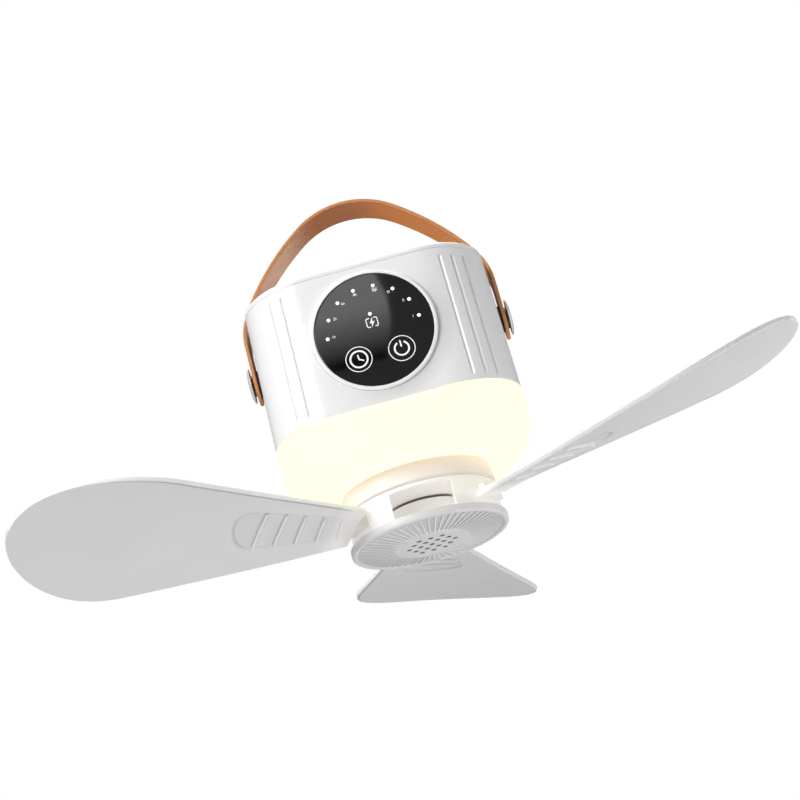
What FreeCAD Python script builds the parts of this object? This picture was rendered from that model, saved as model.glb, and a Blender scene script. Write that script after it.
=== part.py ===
import FreeCAD, Part
import Sketcher
import math, os
from FreeCAD import Vector, Rotation, Placement

# Hanging camping fan with a lamp ring. Millimetres, +Z up.
# The origin is the underside of the strap's crown, where a hook or branch carries it.
# Heights in the sheet are counted from the seam between shell and diffuser; hang_drop is
# the height of the hook point above that seam, and every piece is placed down by it.

doc = FreeCAD.newDocument("camping_fan")
sheet = doc.addObject("Spreadsheet::Sheet", "dims")

CELLS = [
    # shell
    ("hang_drop", 112.2), ("body_half", 54.0), ("body_half_top", 53.0), ("corner_rad", 30.0),
    ("corner_rad_top", 29.2), ("wall", 2.2), ("shell_top", 62.15), ("lid_bottom", 62.45), ("lid_top", 64.9),
    ("lid_round", 1.4), ("groove_rad", 1.0), ("groove_low", 2.2), ("groove_high", 59.0),
    ("column_at", 41.3), ("column_rad", 3.6), ("column_low", 5.2), ("column_high", 56.0), ("column_bore", 1.3),
    # control panel
    ("panel_up", 32.16), ("bezel_rad", 26.95), ("lens_rad", 25.25), ("panel_hole", 24.4), ("lens_front", 55.05),
    ("lens_back", 53.05), ("board_rad", 23.1), ("board_front", 52.2), ("board_thick", 1.6), ("lamp_ring", 19.65),
    ("key_across", 9.2), ("key_drop", 11.5),
    # strap and pivot
    ("pivot_up", 42.6), ("strap_wide", 19.0), ("strap_inner", 55.58), ("strap_outer", 57.1), ("shank_rad", 3.0),
    ("shank_hole", 3.08), ("rivet_rad", 8.0), ("rivet_inner", 58.3), ("rivet_outer", 59.8), ("shank_end", 45.6),
    ("boss_rad", 7.0), ("boss_inner", 49.0), ("strap_crown", 113.72), ("bend_1", 37.276), ("bend_2", 120.832),
    ("bend_3", 53.853), ("bend_4", 27.767), ("turn_1", 36.207), ("turn_2", 19.087), ("turn_3", 9.628),
    ("spacer_rad", 6.0), ("washer_rad", 4.8), ("nut_flats", 9.0),
    # diffuser and collar
    ("lip_half", 51.55), ("lip_inner", 49.9), ("lip_top", 1.0), ("tube_hole", 24.4), ("diff_low", 21.2),
    ("collar_rad_top", 33.1), ("collar_rad", 33.7), ("collar_top", 21.25), ("collar_low", 29.8), ("tube_rad", 24.1),
    ("tube_inner", 22.1), ("flange_rad", 30.5),
    # chassis and lamp board
    ("chassis_low", 3.2), ("chassis_thick", 2.0), ("chassis_half", 51.2), ("led_inner", 31.5), ("led_outer", 45.5),
    ("led_ring", 38.5), ("led_low", 1.6),
    # power
    ("cell_rad", 9.2), ("cell_long", 65.0), ("cell_up", 44.0), ("cell_apart", 9.9), ("holder_low", 31.0),
    ("holder_high", 41.0), ("board_wide", 66.0), ("board_tall", 38.0), ("board_back", 44.0), ("socket_up", 17.0),
    # motor
    ("base_rad", 17.0), ("base_top", 25.3), ("tube_wall_rad", 6.0), ("bearing_rad", 4.5), ("shaft_rad", 2.0),
    ("core_rad", 14.0), ("core_low", 22.0), ("core_high", 12.0), ("bell_rad", 18.0), ("bell_low", 23.0),
    ("bell_top", 5.5), ("magnet_in", 14.6),
    # rotor
    ("rotor_phase", 2.0), ("hub_rad", 33.0), ("hub_top", 30.3), ("hub_ceiling", 32.1), ("hub_low", 43.55),
    ("drum_rad", 16.0), ("pocket_wide", 26.6), ("cap_rad", 34.7), ("cap_top", 43.6), ("cap_low", 47.1), ("cap_belly", 48.75), ("belly_rad", 16.0), ("vent_pitch", 5.1), ("vent_rad", 0.9),
    ("tongue_half", 7.0), ("tongue_tip", 21.0), ("tongue_low", 40.6), ("tongue_high", 34.6), ("slot_gap", 0.12),
    # blades
    ("blade_start", 33.5), ("blade_tip", 184.5), ("blade_thick", 2.2), ("blade_camber", 239.0), ("grip_deep", 0.6),
    ("rib_wide", 1.3), ("rib_high", 0.7),
]

VAL = {}
for i, (alias, value) in enumerate(CELLS):
    cell = "A%d" % (i + 1)
    sheet.set(cell, str(value))
    sheet.setAlias(cell, alias)
    VAL[alias] = value
doc.recompute()


class Dim:
    """A number together with the sheet expression it comes from."""

    def __init__(self, v, x):
        self.v = float(v)
        self.x = x

    def __add__(self, o):
        o = dim(o)
        return Dim(self.v + o.v, "(%s + %s)" % (self.x, o.x))

    __radd__ = __add__

    def __sub__(self, o):
        o = dim(o)
        return Dim(self.v - o.v, "(%s - %s)" % (self.x, o.x))

    def __rsub__(self, o):
        return dim(o) - self

    def __mul__(self, o):
        o = dim(o)
        return Dim(self.v * o.v, "(%s * %s)" % (self.x, o.x))

    __rmul__ = __mul__

    def __truediv__(self, o):
        o = dim(o)
        return Dim(self.v / o.v, "(%s / %s)" % (self.x, o.x))

    def __neg__(self):
        return Dim(-self.v, "(0 - %s)" % self.x)


def dim(o):
    return o if isinstance(o, Dim) else Dim(o, "(%.6f)" % o)


def D(alias):
    return Dim(VAL[alias], "dims." + alias)


def bind(obj, prop, d):
    d = dim(d)
    setattr(obj, prop, d.v)
    if "dims." in d.x:
        obj.setExpression(prop, d.x)


def place(obj, x=0, y=0, z=0, rot=None):
    x, y, z = dim(x), dim(y), dim(z)
    obj.Placement = Placement(Vector(x.v, y.v, z.v), rot or Rotation())
    for axis, d in (("x", x), ("y", y), ("z", z)):
        if "dims." in d.x:
            obj.setExpression("Placement.Base." + axis, d.x)
    return obj


ALONG_X = Rotation(Vector(0, 1, 0), 90)
ALONG_Y = Rotation(Vector(1, 0, 0), -90)


def cyl(name, r, h, x=0, y=0, z=0, rot=None):
    o = doc.addObject("Part::Cylinder", name)
    bind(o, "Radius", r)
    bind(o, "Height", h)
    return place(o, x, y, z, rot)


def cone(name, r1, r2, h, x=0, y=0, z=0, rot=None):
    o = doc.addObject("Part::Cone", name)
    bind(o, "Radius1", r1)
    bind(o, "Radius2", r2)
    bind(o, "Height", h)
    return place(o, x, y, z, rot)


def box(name, lx, ly, lz, x=0, y=0, z=0, rot=None):
    o = doc.addObject("Part::Box", name)
    bind(o, "Length", lx)
    bind(o, "Width", ly)
    bind(o, "Height", lz)
    return place(o, x, y, z, rot)


def fuse(name, *objs):
    o = doc.addObject("Part::MultiFuse", name)
    o.Shapes = list(objs)
    return o


def cut(name, base, *tools):
    tool = tools[0] if len(tools) == 1 else fuse(name + "_tool", *tools)
    o = doc.addObject("Part::Cut", name)
    o.Base = base
    o.Tool = tool
    return o


def common(name, a, b):
    o = doc.addObject("Part::Common", name)
    o.Base = a
    o.Tool = b
    return o


def group(name, *objs):
    o = doc.addObject("Part::Compound", name)
    o.Links = list(objs)
    return o


def body(name):
    return doc.addObject("PartDesign::Body", name)


def plane(b, role):
    return [f for f in b.Origin.OriginFeatures if f.Role == role][0]


def sketch(b, name, role="XY_Plane", off=(0, 0, 0), turn=0.0):
    s = b.newObject("Sketcher::SketchObject", name)
    s.AttachmentSupport = [(plane(b, role), "")]
    s.MapMode = "FlatFace"
    d = [dim(k) for k in off]
    s.AttachmentOffset = Placement(Vector(d[0].v, d[1].v, d[2].v), Rotation(Vector(0, 0, 1), turn))
    for axis, k in zip("xyz", d):
        if "dims." in k.x:
            s.setExpression("AttachmentOffset.Base." + axis, k.x)
    return s


def tie(s, kind, args, d):
    """A driving constraint whose value follows the sheet."""
    d = dim(d)
    n = s.addConstraint(Sketcher.Constraint(kind, *args, d.v))
    if "dims." in d.x:
        s.setExpression("Constraints[%d]" % n, d.x)
    return n


def pin(s, geo, pos, x, y):
    """Holds a vertex at (x, y) in the sketch."""
    for kind, d, axis in (("DistanceX", dim(x), -2), ("DistanceY", dim(y), -1)):
        if abs(d.v) < 1e-9:
            s.addConstraint(Sketcher.Constraint("PointOnObject", geo, pos, axis))
        elif d.v > 0:
            tie(s, kind, (-1, 1, geo, pos), d)
        else:
            tie(s, kind, (geo, pos, -1, 1), -d)


def polygon(s, pts):
    pts = [(dim(a), dim(b)) for a, b in pts]
    v = [Vector(a.v, b.v, 0) for a, b in pts]
    n = len(v)
    first = s.GeometryCount
    for i in range(n):
        s.addGeometry(Part.LineSegment(v[i], v[(i + 1) % n]), False)
    for i in range(n):
        s.addConstraint(Sketcher.Constraint("Coincident", first + i, 2, first + (i + 1) % n, 1))
    for i in range(n):
        pin(s, first + i, 1, pts[i][0], pts[i][1])


def rounded_square(s, half, rad):
    """A square with round corners, centred on the sketch origin."""
    half, rad = dim(half), dim(rad)
    a, r = half.v, rad.v
    k = a - r
    g = s.GeometryCount
    lines = [((-k, -a), (k, -a)), ((a, -k), (a, k)), ((k, a), (-k, a)), ((-a, k), (-a, -k))]
    for p, q in lines:
        s.addGeometry(Part.LineSegment(Vector(p[0], p[1], 0), Vector(q[0], q[1], 0)), False)
    for (cx, cy), a0 in (((k, -k), -90), ((k, k), 0), ((-k, k), 90), ((-k, -k), 180)):
        c = Part.Circle(Vector(cx, cy, 0), Vector(0, 0, 1), r)
        s.addGeometry(Part.ArcOfCircle(c, math.radians(a0), math.radians(a0 + 90)), False)
    for i in range(4):
        s.addConstraint(Sketcher.Constraint("Tangent", g + i, 2, g + 4 + i, 1))
        s.addConstraint(Sketcher.Constraint("Tangent", g + 4 + i, 2, g + (i + 1) % 4, 1))
    s.addConstraint(Sketcher.Constraint("Horizontal", g))
    s.addConstraint(Sketcher.Constraint("Vertical", g + 1))
    s.addConstraint(Sketcher.Constraint("Horizontal", g + 2))
    s.addConstraint(Sketcher.Constraint("Vertical", g + 3))
    for i in range(3):
        s.addConstraint(Sketcher.Constraint("Equal", g + 4, g + 5 + i))
    tie(s, "Radius", (g + 4,), rad)
    tie(s, "DistanceY", (g, 1, -1, 1), half)
    tie(s, "DistanceX", (-1, 1, g + 1, 1), half)
    tie(s, "DistanceY", (-1, 1, g + 2, 1), half)
    tie(s, "DistanceX", (g + 3, 1, -1, 1), half)


def pad(b, name, s, length, both=False, reverse=False):
    f = b.newObject("PartDesign::Pad", name)
    f.Profile = s
    bind(f, "Length", length)
    f.Midplane = both
    f.Reversed = reverse
    doc.recompute()
    return f


def pocket_all(b, name, s):
    f = b.newObject("PartDesign::Pocket", name)
    f.Profile = s
    f.Type = 1
    f.Midplane = True
    doc.recompute()
    return f


def spin(b, name, s, axis="V_Axis"):
    f = b.newObject("PartDesign::Revolution", name)
    f.Profile = s
    f.ReferenceAxis = (s, [axis])
    f.Angle = 360
    doc.recompute()
    return f


def turned(name, pts, role="XZ_Plane", axis="V_Axis"):
    """A body turned about an axis through its own origin."""
    b = body(name)
    s = sketch(b, name + "_profile", role)
    polygon(s, pts)
    spin(b, name + "_turn", s, axis)
    return b


def loft(b, name, sketches, ruled=False, subtract=False):
    f = b.newObject("PartDesign::SubtractiveLoft" if subtract else "PartDesign::AdditiveLoft", name)
    f.Profile = sketches[0]
    f.Sections = sketches[1:]
    f.Ruled = ruled
    f.Closed = False
    doc.recompute()
    return f


def polar(name, make, count, first=0.0):
    """count copies of a small piece, each made by make(name, angle)."""
    return [make("%s_%d" % (name, i + 1), first + 360.0 * i / count) for i in range(count)]


NODES = []


def node(obj, label, z=None, turn=None):
    """Names a finished piece and sets it down from the hook point."""
    obj.Label = label
    d = -D("hang_drop") if z is None else dim(z) - D("hang_drop")
    obj.Placement = Placement(Vector(0, 0, d.v), Rotation(Vector(0, 0, 1), turn.v if turn is not None else 0))
    obj.setExpression("Placement.Base.z", d.x)
    if turn is not None and "dims." in turn.x:
        obj.setExpression("Placement.Rotation.Angle", turn.x)
    NODES.append(obj)
    return obj


# ---------------------------------------------------------------- main shell
b = body("shell_block")
s0 = sketch(b, "shell_foot")
rounded_square(s0, D("body_half"), D("corner_rad"))
s1 = sketch(b, "shell_head", off=(0, 0, D("shell_top")))
rounded_square(s1, D("body_half_top"), D("corner_rad_top"))
loft(b, "shell_skin", [s0, s1], ruled=True)
s2 = sketch(b, "shell_foot_in")
rounded_square(s2, D("body_half") - D("wall"), D("corner_rad") - D("wall"))
s3 = sketch(b, "shell_head_in", off=(0, 0, D("shell_top")))
rounded_square(s3, D("body_half_top") - D("wall"), D("corner_rad_top") - D("wall"))
loft(b, "shell_hollow", [s2, s3], ruled=True, subtract=True)

columns = []
for i, (sx, sy) in enumerate(((1, 1), (-1, 1), (-1, -1), (1, -1))):
    columns.append(cyl("column_%d" % (i + 1), D("column_rad"), D("column_high") - D("column_low"),
                       sx * D("column_at"), sy * D("column_at"), D("column_low")))
bosses = []
for i, sx in enumerate((1, -1)):
    bosses.append(cyl("pivot_boss_%d" % (i + 1), D("boss_rad"), 3.0,
                      D("boss_inner") if sx > 0 else -D("boss_inner") - 3.0, 0, D("pivot_up"), ALONG_X))
shell_full = fuse("shell_full", b, *(columns + bosses))

tools = [
    cyl("bezel_seat", D("bezel_rad") + 0.1, 10, 0, -62.9, D("panel_up"), ALONG_Y),
    cyl("panel_opening", D("panel_hole"), 16, 0, -62.9, D("panel_up"), ALONG_Y),
    cyl("pivot_hole_1", D("shank_hole"), 20, 42, 0, D("pivot_up"), ALONG_X),
    cyl("pivot_hole_2", D("shank_hole"), 20, -62, 0, D("pivot_up"), ALONG_X),
    box("socket_window", 10.4, 8, 4.6, -5.2, 48, D("socket_up") - 2.3),
    box("cover_recess", 15.4, 3, 8.6, -7.7, 52.7, D("socket_up") - 4.3),
]
for i, (sx, sy) in enumerate(((1, 1), (-1, 1), (-1, -1), (1, -1))):
    tools.append(cyl("column_bore_low_%d" % (i + 1), D("column_bore"), 11, sx * D("column_at"), sy * D("column_at"),
                     D("column_low") - 1))
    tools.append(cyl("column_bore_high_%d" % (i + 1), D("column_bore"), 8, sx * D("column_at"), sy * D("column_at"),
                     D("column_high") - 7))
# three upright grooves at each corner, on the half that faces the front or the back; they lean in with the draft
lean = math.degrees(math.atan((VAL["body_half"] - VAL["body_half_top"]) / VAL["shell_top"]))
n = 0
for sx, sy in ((1, -1), (-1, -1), (-1, 1), (1, 1)):
    for phi in (22.0, 33.5, 45.0):
        ang = math.atan2(sy * math.cos(math.radians(phi)), sx * math.sin(math.radians(phi)))
        k = VAL["body_half"] - VAL["corner_rad"]
        out = VAL["corner_rad"] + 0.35
        n += 1
        tools.append(cyl("groove_%d" % n, D("groove_rad"), D("groove_high") - D("groove_low"), sx * k + out * math.cos(ang),
                         sy * k + out * math.sin(ang), D("groove_low"), Rotation(Vector(-math.sin(ang), math.cos(ang), 0), -lean)))
shell = cut("main_shell_solid", shell_full, *tools)
node(shell, "main_shell")

# ---------------------------------------------------------------- top cover
b = body("lid_block")
s = sketch(b, "lid_outline", off=(0, 0, D("lid_bottom")))
rounded_square(s, D("body_half_top"), D("corner_rad_top"))
p = pad(b, "lid_plate", s, D("lid_top") - D("lid_bottom"))
edges = []
for i, e in enumerate(p.Shape.Edges):
    if all(abs(v.Z - VAL["lid_top"]) < 1e-4 for v in e.Vertexes):
        edges.append("Edge%d" % (i + 1))
f = b.newObject("PartDesign::Fillet", "lid_edge")
f.Base = (p, edges)
bind(f, "Radius", D("lid_round"))
doc.recompute()
s = sketch(b, "lid_rim_out", off=(0, 0, D("lid_bottom")))
rounded_square(s, D("body_half_top") - D("wall") - 0.25, D("corner_rad_top") - D("wall") - 0.25)
rounded_square(s, D("body_half_top") - D("wall") - 1.85, D("corner_rad_top") - D("wall") - 1.85)
pad(b, "lid_rim", s, 3.0, reverse=True)
feet = []
for i, (sx, sy) in enumerate(((1, 1), (-1, 1), (-1, -1), (1, -1))):
    feet.append(cyl("lid_foot_%d" % (i + 1), 3.2, D("lid_bottom") - D("column_high") + 0.5, sx * (D("column_at") - 1.2),
                    sy * (D("column_at") - 1.2), D("column_high")))
    feet.append(cyl("lid_peg_%d" % (i + 1), D("column_bore") - 0.1, 6.5, sx * D("column_at"), sy * D("column_at"),
                    D("column_high") - 6.0))
lid = fuse("top_cover_solid", b, *feet)
node(lid, "top_cover")

# ---------------------------------------------------------------- control panel
bez = turned("bezel_body", [
    (D("bezel_rad"), -52.95), (D("bezel_rad"), -54.45), (D("bezel_rad") - 0.15, -54.8), (D("bezel_rad") - 0.5, -55.0),
    (D("lens_rad") + 0.1, -55.0), (D("lens_rad") + 0.1, -D("lens_back") + 0.05), (23.4, -D("lens_back") + 0.05),
    (23.4, -49.0), (D("panel_hole") - 0.1, -49.0), (D("panel_hole") - 0.1, -52.95)], "XY_Plane")
node(bez, "panel_bezel", D("panel_up"))
lens = turned("lens_body", [
    (0, -D("lens_back")), (D("lens_rad"), -D("lens_back")), (D("lens_rad"), -D("lens_front") + 0.35),
    (D("lens_rad") - 0.35, -D("lens_front")), (0, -D("lens_front"))], "XY_Plane")
node(lens, "panel_lens", D("panel_up"))
board = cyl("touch_disc", D("board_rad"), D("board_thick"), 0, -D("board_front"), 0, ALONG_Y)
plug = box("touch_plug", 10, 3.0, 5, -5, -D("board_front") + D("board_thick"), -18)
touch = fuse("touch_board_solid", board, plug)
node(touch, "touch_board", D("panel_up"))
lamps = []
for i, a in enumerate((2.4, 27.2, 52.2, 77.1, 102.9, 127.8, 152.8, 177.6)):
    r = VAL["lamp_ring"]
    lamps.append(box("lamp_%d" % (i + 1), 1.2, 0.6, 1.2, r * math.cos(math.radians(a)) - 0.6, -D("board_front") - 0.6,
                     r * math.sin(math.radians(a)) - 0.6))
lamps.append(box("lamp_9", 1.2, 0.6, 1.2, -0.6, -D("board_front") - 0.6, 6.4))
node(group("indicator_lamps", *lamps), "indicator_leds", D("panel_up"))
pads_ = [cyl("key_pad_%d" % (i + 1), 4.5, D("lens_back") - D("board_front"), sx * D("key_across"), -D("lens_back"),
             -D("key_drop"), ALONG_Y) for i, sx in enumerate((-1, 1))]
node(group("key_pads", *pads_), "touch_pads", D("panel_up"))

# ---------------------------------------------------------------- strap and its pivots
# the leather's side view is a chain of tangent arcs down from the crown, then a straight run past the rivet
turns = [VAL["turn_1"], VAL["turn_2"], VAL["turn_3"]]
turns.append(90.0 - sum(turns))
bends = [VAL["bend_1"], VAL["bend_2"], VAL["bend_3"], VAL["bend_4"]]
thick = VAL["strap_outer"] - VAL["strap_inner"]
chain, at, head = [], (0.0, VAL["strap_crown"]), 0.0
for rad, turn in zip(bends, turns):
    cx, cz = at[0] - rad * math.sin(head), at[1] - rad * math.cos(head)
    nxt = head + math.radians(turn)
    chain.append((cx, cz, rad, head, nxt))
    at, head = (cx + rad * math.sin(nxt), cz + rad * math.cos(nxt)), nxt
run_top = at[1]
foot = VAL["pivot_up"] - VAL["strap_wide"] / 2 - 0.5
so, si = chain[-1][0] + chain[-1][2], chain[-1][0] + chain[-1][2] - thick
b = body("strap_strip")
s = sketch(b, "strap_side", "XZ_Plane")


def side_arc(cx, cz, rad, t0, t1, mirror):
    """Arc between two headings counted from the crown, on the right or the left side."""
    a0, a1 = math.pi / 2 - t1, math.pi / 2 - t0
    if mirror:
        cx, a0, a1 = -cx, math.pi - a1, math.pi - a0
    s.addGeometry(Part.ArcOfCircle(Part.Circle(Vector(cx, cz, 0), Vector(0, 0, 1), rad), a0, a1), False)


for mirror in (False, True):
    for cx, cz, rad, t0, t1 in chain:
        side_arc(cx, cz, rad, t0, t1, mirror)
        side_arc(cx, cz, rad - thick, t0, t1, mirror)
for k in (1, -1):
    s.addGeometry(Part.LineSegment(Vector(k * so, run_top, 0), Vector(k * so, foot, 0)), False)
    s.addGeometry(Part.LineSegment(Vector(k * so, foot, 0), Vector(k * si, foot, 0)), False)
    s.addGeometry(Part.LineSegment(Vector(k * si, foot, 0), Vector(k * si, run_top, 0)), False)
pad(b, "strap_band", s, D("strap_wide"), both=True)
keep = fuse("strap_keep", box("strap_upper", 140, D("strap_wide"), 90, -70, -(D("strap_wide") / 2), D("pivot_up")),
            cyl("strap_round", D("strap_wide") / 2, 140, -70, 0, D("pivot_up"), ALONG_X))
strap = cut("strap_solid", common("strap_outline", b, keep), cyl("strap_holes", D("shank_hole"), 140, -70, 0, D("pivot_up"), ALONG_X))
node(strap, "strap")


def rivet(name, side):
    b = body(name)
    s = sketch(b, name + "_profile", "XY_Plane")
    pts = [(D("shank_end"), 0), (D("shank_end"), D("shank_rad") - 0.4), (D("shank_end") + 0.4, D("shank_rad")),
           (D("rivet_inner"), D("shank_rad")), (D("rivet_inner"), D("rivet_rad") - 0.2),
           (D("rivet_inner") + 0.2, D("rivet_rad")), (D("rivet_outer") - 0.65, D("rivet_rad")),
           (D("rivet_outer") - 0.3, D("rivet_rad") - 0.35), (D("rivet_outer") - 0.1, D("rivet_rad") - 1.6),
           (D("rivet_outer"), D("rivet_rad") - 4.0), (D("rivet_outer"), 0)]
    polygon(s, pts)
    spin(b, name + "_turn", s, "H_Axis")
    place(b, 0, 0, 0, Rotation(Vector(0, 0, 1), 0 if side > 0 else 180))
    return b


node(group("rivet_pair", rivet("rivet_right", 1), rivet("rivet_left", -1)), "pivot_rivets", D("pivot_up"))


def ring_x(name, side, r_out, r_in, x0, x1):
    x0, x1 = dim(x0), dim(x1)
    a = x0 if side > 0 else -x1
    return cut(name, cyl(name + "_disc", r_out, x1 - x0, a, 0, 0, ALONG_X),
               cyl(name + "_hole", r_in, x1 - x0 + 2, a - 1, 0, 0, ALONG_X))


node(group("spacer_pair", *[ring_x("spacer_%d" % i, sd, D("spacer_rad"), D("shank_hole"), 53.5, D("strap_inner") - 0.12)
                            for i, sd in ((1, 1), (2, -1))]), "pivot_spacers", D("pivot_up"))
node(group("washer_pair", *[ring_x("washer_%d" % i, sd, D("washer_rad"), D("shank_hole"), D("strap_outer") + 0.15,
                                   D("rivet_inner") - 0.02) for i, sd in ((1, 1), (2, -1))]), "pivot_washers", D("pivot_up"))


def hex_nut(name, flats, bore, thick):
    """A nut on the Z axis, its foot at 0."""
    flats = dim(flats)
    prism = doc.addObject("Part::Prism", name + "_hex")
    prism.Polygon = 6
    bind(prism, "Circumradius", flats / math.sqrt(3))
    bind(prism, "Height", thick)
    return cut(name, prism, cyl(name + "_bore", bore, dim(thick) + 2, 0, 0, -1))


nuts = []
for i, sd in ((1, 1), (2, -1)):
    nut = hex_nut("pivot_nut_%d" % i, D("nut_flats"), D("shank_rad") + 0.02, 3.0)
    place(nut, (D("boss_inner") - 3.05) if sd > 0 else -D("boss_inner") + 0.05, 0, 0, ALONG_X)
    nuts.append(nut)
node(group("nut_pair", *nuts), "pivot_nuts", D("pivot_up"))

# ---------------------------------------------------------------- diffuser
OUT = [(-0.15, 54.0, 30.2), (-2.0, 54.9, 36.0), (-4.0, 55.2, 41.0), (-9.0, 54.0, 45.0), (-14.0, 51.5, 46.2), (-18.0, 48.0, 45.6),
       (-20.3, 44.0, 42.9), (-21.2, 40.0, 39.3)]
INN = [(-2.2, 52.4, 33.4), (-4.0, 52.9, 38.6), (-9.0, 51.8, 43.0), (-13.4, 49.5, 44.2), (-16.8, 46.2, 43.6),
       (-18.6, 42.8, 41.5), (-19.2, 39.0, 38.2)]
b = body("diffuser_bowl")
secs = []
for i, (z, a, r) in enumerate(OUT):
    s = sketch(b, "bowl_out_%d" % i, off=(0, 0, z))
    rounded_square(s, a, r)
    secs.append(s)
loft(b, "bowl_skin", secs)
secs = []
for i, (z, a, r) in enumerate(INN):
    s = sketch(b, "bowl_in_%d" % i, off=(0, 0, z))
    rounded_square(s, a, r)
    secs.append(s)
loft(b, "bowl_hollow", secs, subtract=True)
b2 = body("diffuser_lip")
s = sketch(b2, "lip_outline", off=(0, 0, -0.6))
rounded_square(s, D("lip_half"), D("lip_half") - 24.1)
pad(b2, "lip_pad", s, D("lip_top") + 0.6)
b3 = body("lip_hollow_body")
s = sketch(b3, "lip_hollow_outline", off=(0, 0, -2.3))
rounded_square(s, D("lip_inner"), D("lip_inner") - 24.1)
pad(b3, "lip_hollow_pad", s, D("lip_top") + 4.3)
diff = cut("diffuser_solid", fuse("diffuser_full", b, b2), b3, cyl("diffuser_hole", D("tube_hole"), 6, 0, 0, -24))
node(diff, "diffuser")

# ---------------------------------------------------------------- collar with the motor tube
col = turned("collar_body", [
    (7.0, -D("collar_low")), (D("collar_rad") - 0.5, -D("collar_low")), (D("collar_rad"), -D("collar_low") + 0.5),
    (D("collar_rad_top"), -D("collar_top")), (D("tube_rad"), -D("collar_top")), (D("tube_rad"), 1.2),
    (D("flange_rad"), 1.2), (D("flange_rad"), 3.15), (D("tube_inner"), 3.15), (D("tube_inner"), -D("collar_low") + 2.0),
    (7.0, -D("collar_low") + 2.0)])
holes = polar("collar_screw_hole", lambda nm, a: cyl(nm, 1.3, 4, 27.3 * math.cos(math.radians(a)), 27.3 * math.sin(math.radians(a)), 0), 3, 30)
holes += polar("base_screw_hole", lambda nm, a: cyl(nm, 1.05, 3, 13.2 * math.cos(math.radians(a)), 13.2 * math.sin(math.radians(a)), -D("collar_low") + 0.6), 3, 90)
node(cut("collar_solid", col, *holes), "collar")

# ---------------------------------------------------------------- chassis, lamp board, screws
b = body("chassis_plate")
s = sketch(b, "chassis_outline", off=(0, 0, D("chassis_low")))
rounded_square(s, D("chassis_half"), D("chassis_half") - 24.0)
pad(b, "chassis_pad", s, D("chassis_thick"))
plate_top = D("chassis_low") + D("chassis_thick")
posts = []
for i, (sx, sy) in enumerate(((1, 1), (-1, 1), (-1, -1), (1, -1))):
    posts.append(cyl("holder_post_%d" % (i + 1), 3.0, D("holder_low") - plate_top + 0.5, sx * 29, sy * 15, plate_top - 0.5))
for i, sx in enumerate((1, -1)):
    posts.append(box("board_guide_%d" % (i + 1), 4, 5.6, 24, 31.2 * sx - 2, D("board_back") - 2, plate_top - 0.5))
cuts = [box("board_slot", D("board_wide") + 0.4, D("board_thick") + 0.2, 60, -(D("board_wide") + 0.4) / 2, D("board_back") - 0.1, plate_top + 1.5),
        cyl("wire_hole", 8.0, 6, 0, 0, 1)]
cuts += polar("flange_bore", lambda nm, a: cyl(nm, 1.1, 6, 27.3 * math.cos(math.radians(a)), 27.3 * math.sin(math.radians(a)), 1.5), 3, 30)
for i, (sx, sy) in enumerate(((1, 1), (-1, 1), (-1, -1), (1, -1))):
    cuts.append(cyl("corner_bore_%d" % (i + 1), 1.7, 6, sx * D("column_at"), sy * D("column_at"), 1.5))
node(cut("chassis_solid", fuse("chassis_full", b, *posts), *cuts), "chassis")


def screw(name, x, y, z, shank, long, head, high, up=True):
    """Pan-head screw: the head's seat is at z and the shank runs up (or down) from it."""
    x, y, z = dim(x), dim(y), dim(z)
    if up:
        parts = [cyl(name + "_shank", shank, long, x, y, z - 0.2), cyl(name + "_head", head, high, x, y, z - high)]
        slot = [box(name + "_slot_a", head * 1.3, 0.5, 0.7, x - head * 0.65, y - 0.25, z - high - 0.1),
                box(name + "_slot_b", 0.5, head * 1.3, 0.7, x - 0.25, y - head * 0.65, z - high - 0.1)]
    else:
        parts = [cyl(name + "_shank", shank, long, x, y, z - long + 0.2), cyl(name + "_head", head, high, x, y, z)]
        slot = [box(name + "_slot_a", head * 1.3, 0.5, 0.7, x - head * 0.65, y - 0.25, z + high - 0.6),
                box(name + "_slot_b", 0.5, head * 1.3, 0.7, x - 0.25, y - head * 0.65, z + high - 0.6)]
    return cut(name, fuse(name + "_blank", *parts), *slot)


node(group("corner_screws", *[screw("corner_screw_%d" % (i + 1), sx * D("column_at"), sy * D("column_at"), D("chassis_low"),
                                    1.25, 10, 2.6, 1.7) for i, (sx, sy) in enumerate(((1, 1), (-1, 1), (-1, -1), (1, -1)))]),
     "chassis_screws")
node(group("flange_screws", *polar("flange_screw", lambda nm, a: screw(nm, 27.3 * math.cos(math.radians(a)), 27.3 * math.sin(math.radians(a)), 1.2,
                                                                      1.05, 4.6, 2.2, 1.4), 3, 30)), "collar_screws")
ring = cut("lamp_ring_board", cyl("lamp_disc", D("led_outer"), D("chassis_low") - D("led_low") - 0.05, 0, 0, D("led_low")),
           cyl("lamp_disc_hole", D("led_inner"), 5, 0, 0, 0))
node(ring, "led_board")
chips = polar("chip", lambda nm, a: box(nm, 3.0, 3.0, 0.8, VAL["led_ring"] * math.cos(math.radians(a)) - 1.5,
                                        VAL["led_ring"] * math.sin(math.radians(a)) - 1.5, D("led_low") - 0.8), 18)
node(group("lamp_chips", *chips), "light_leds")

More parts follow.
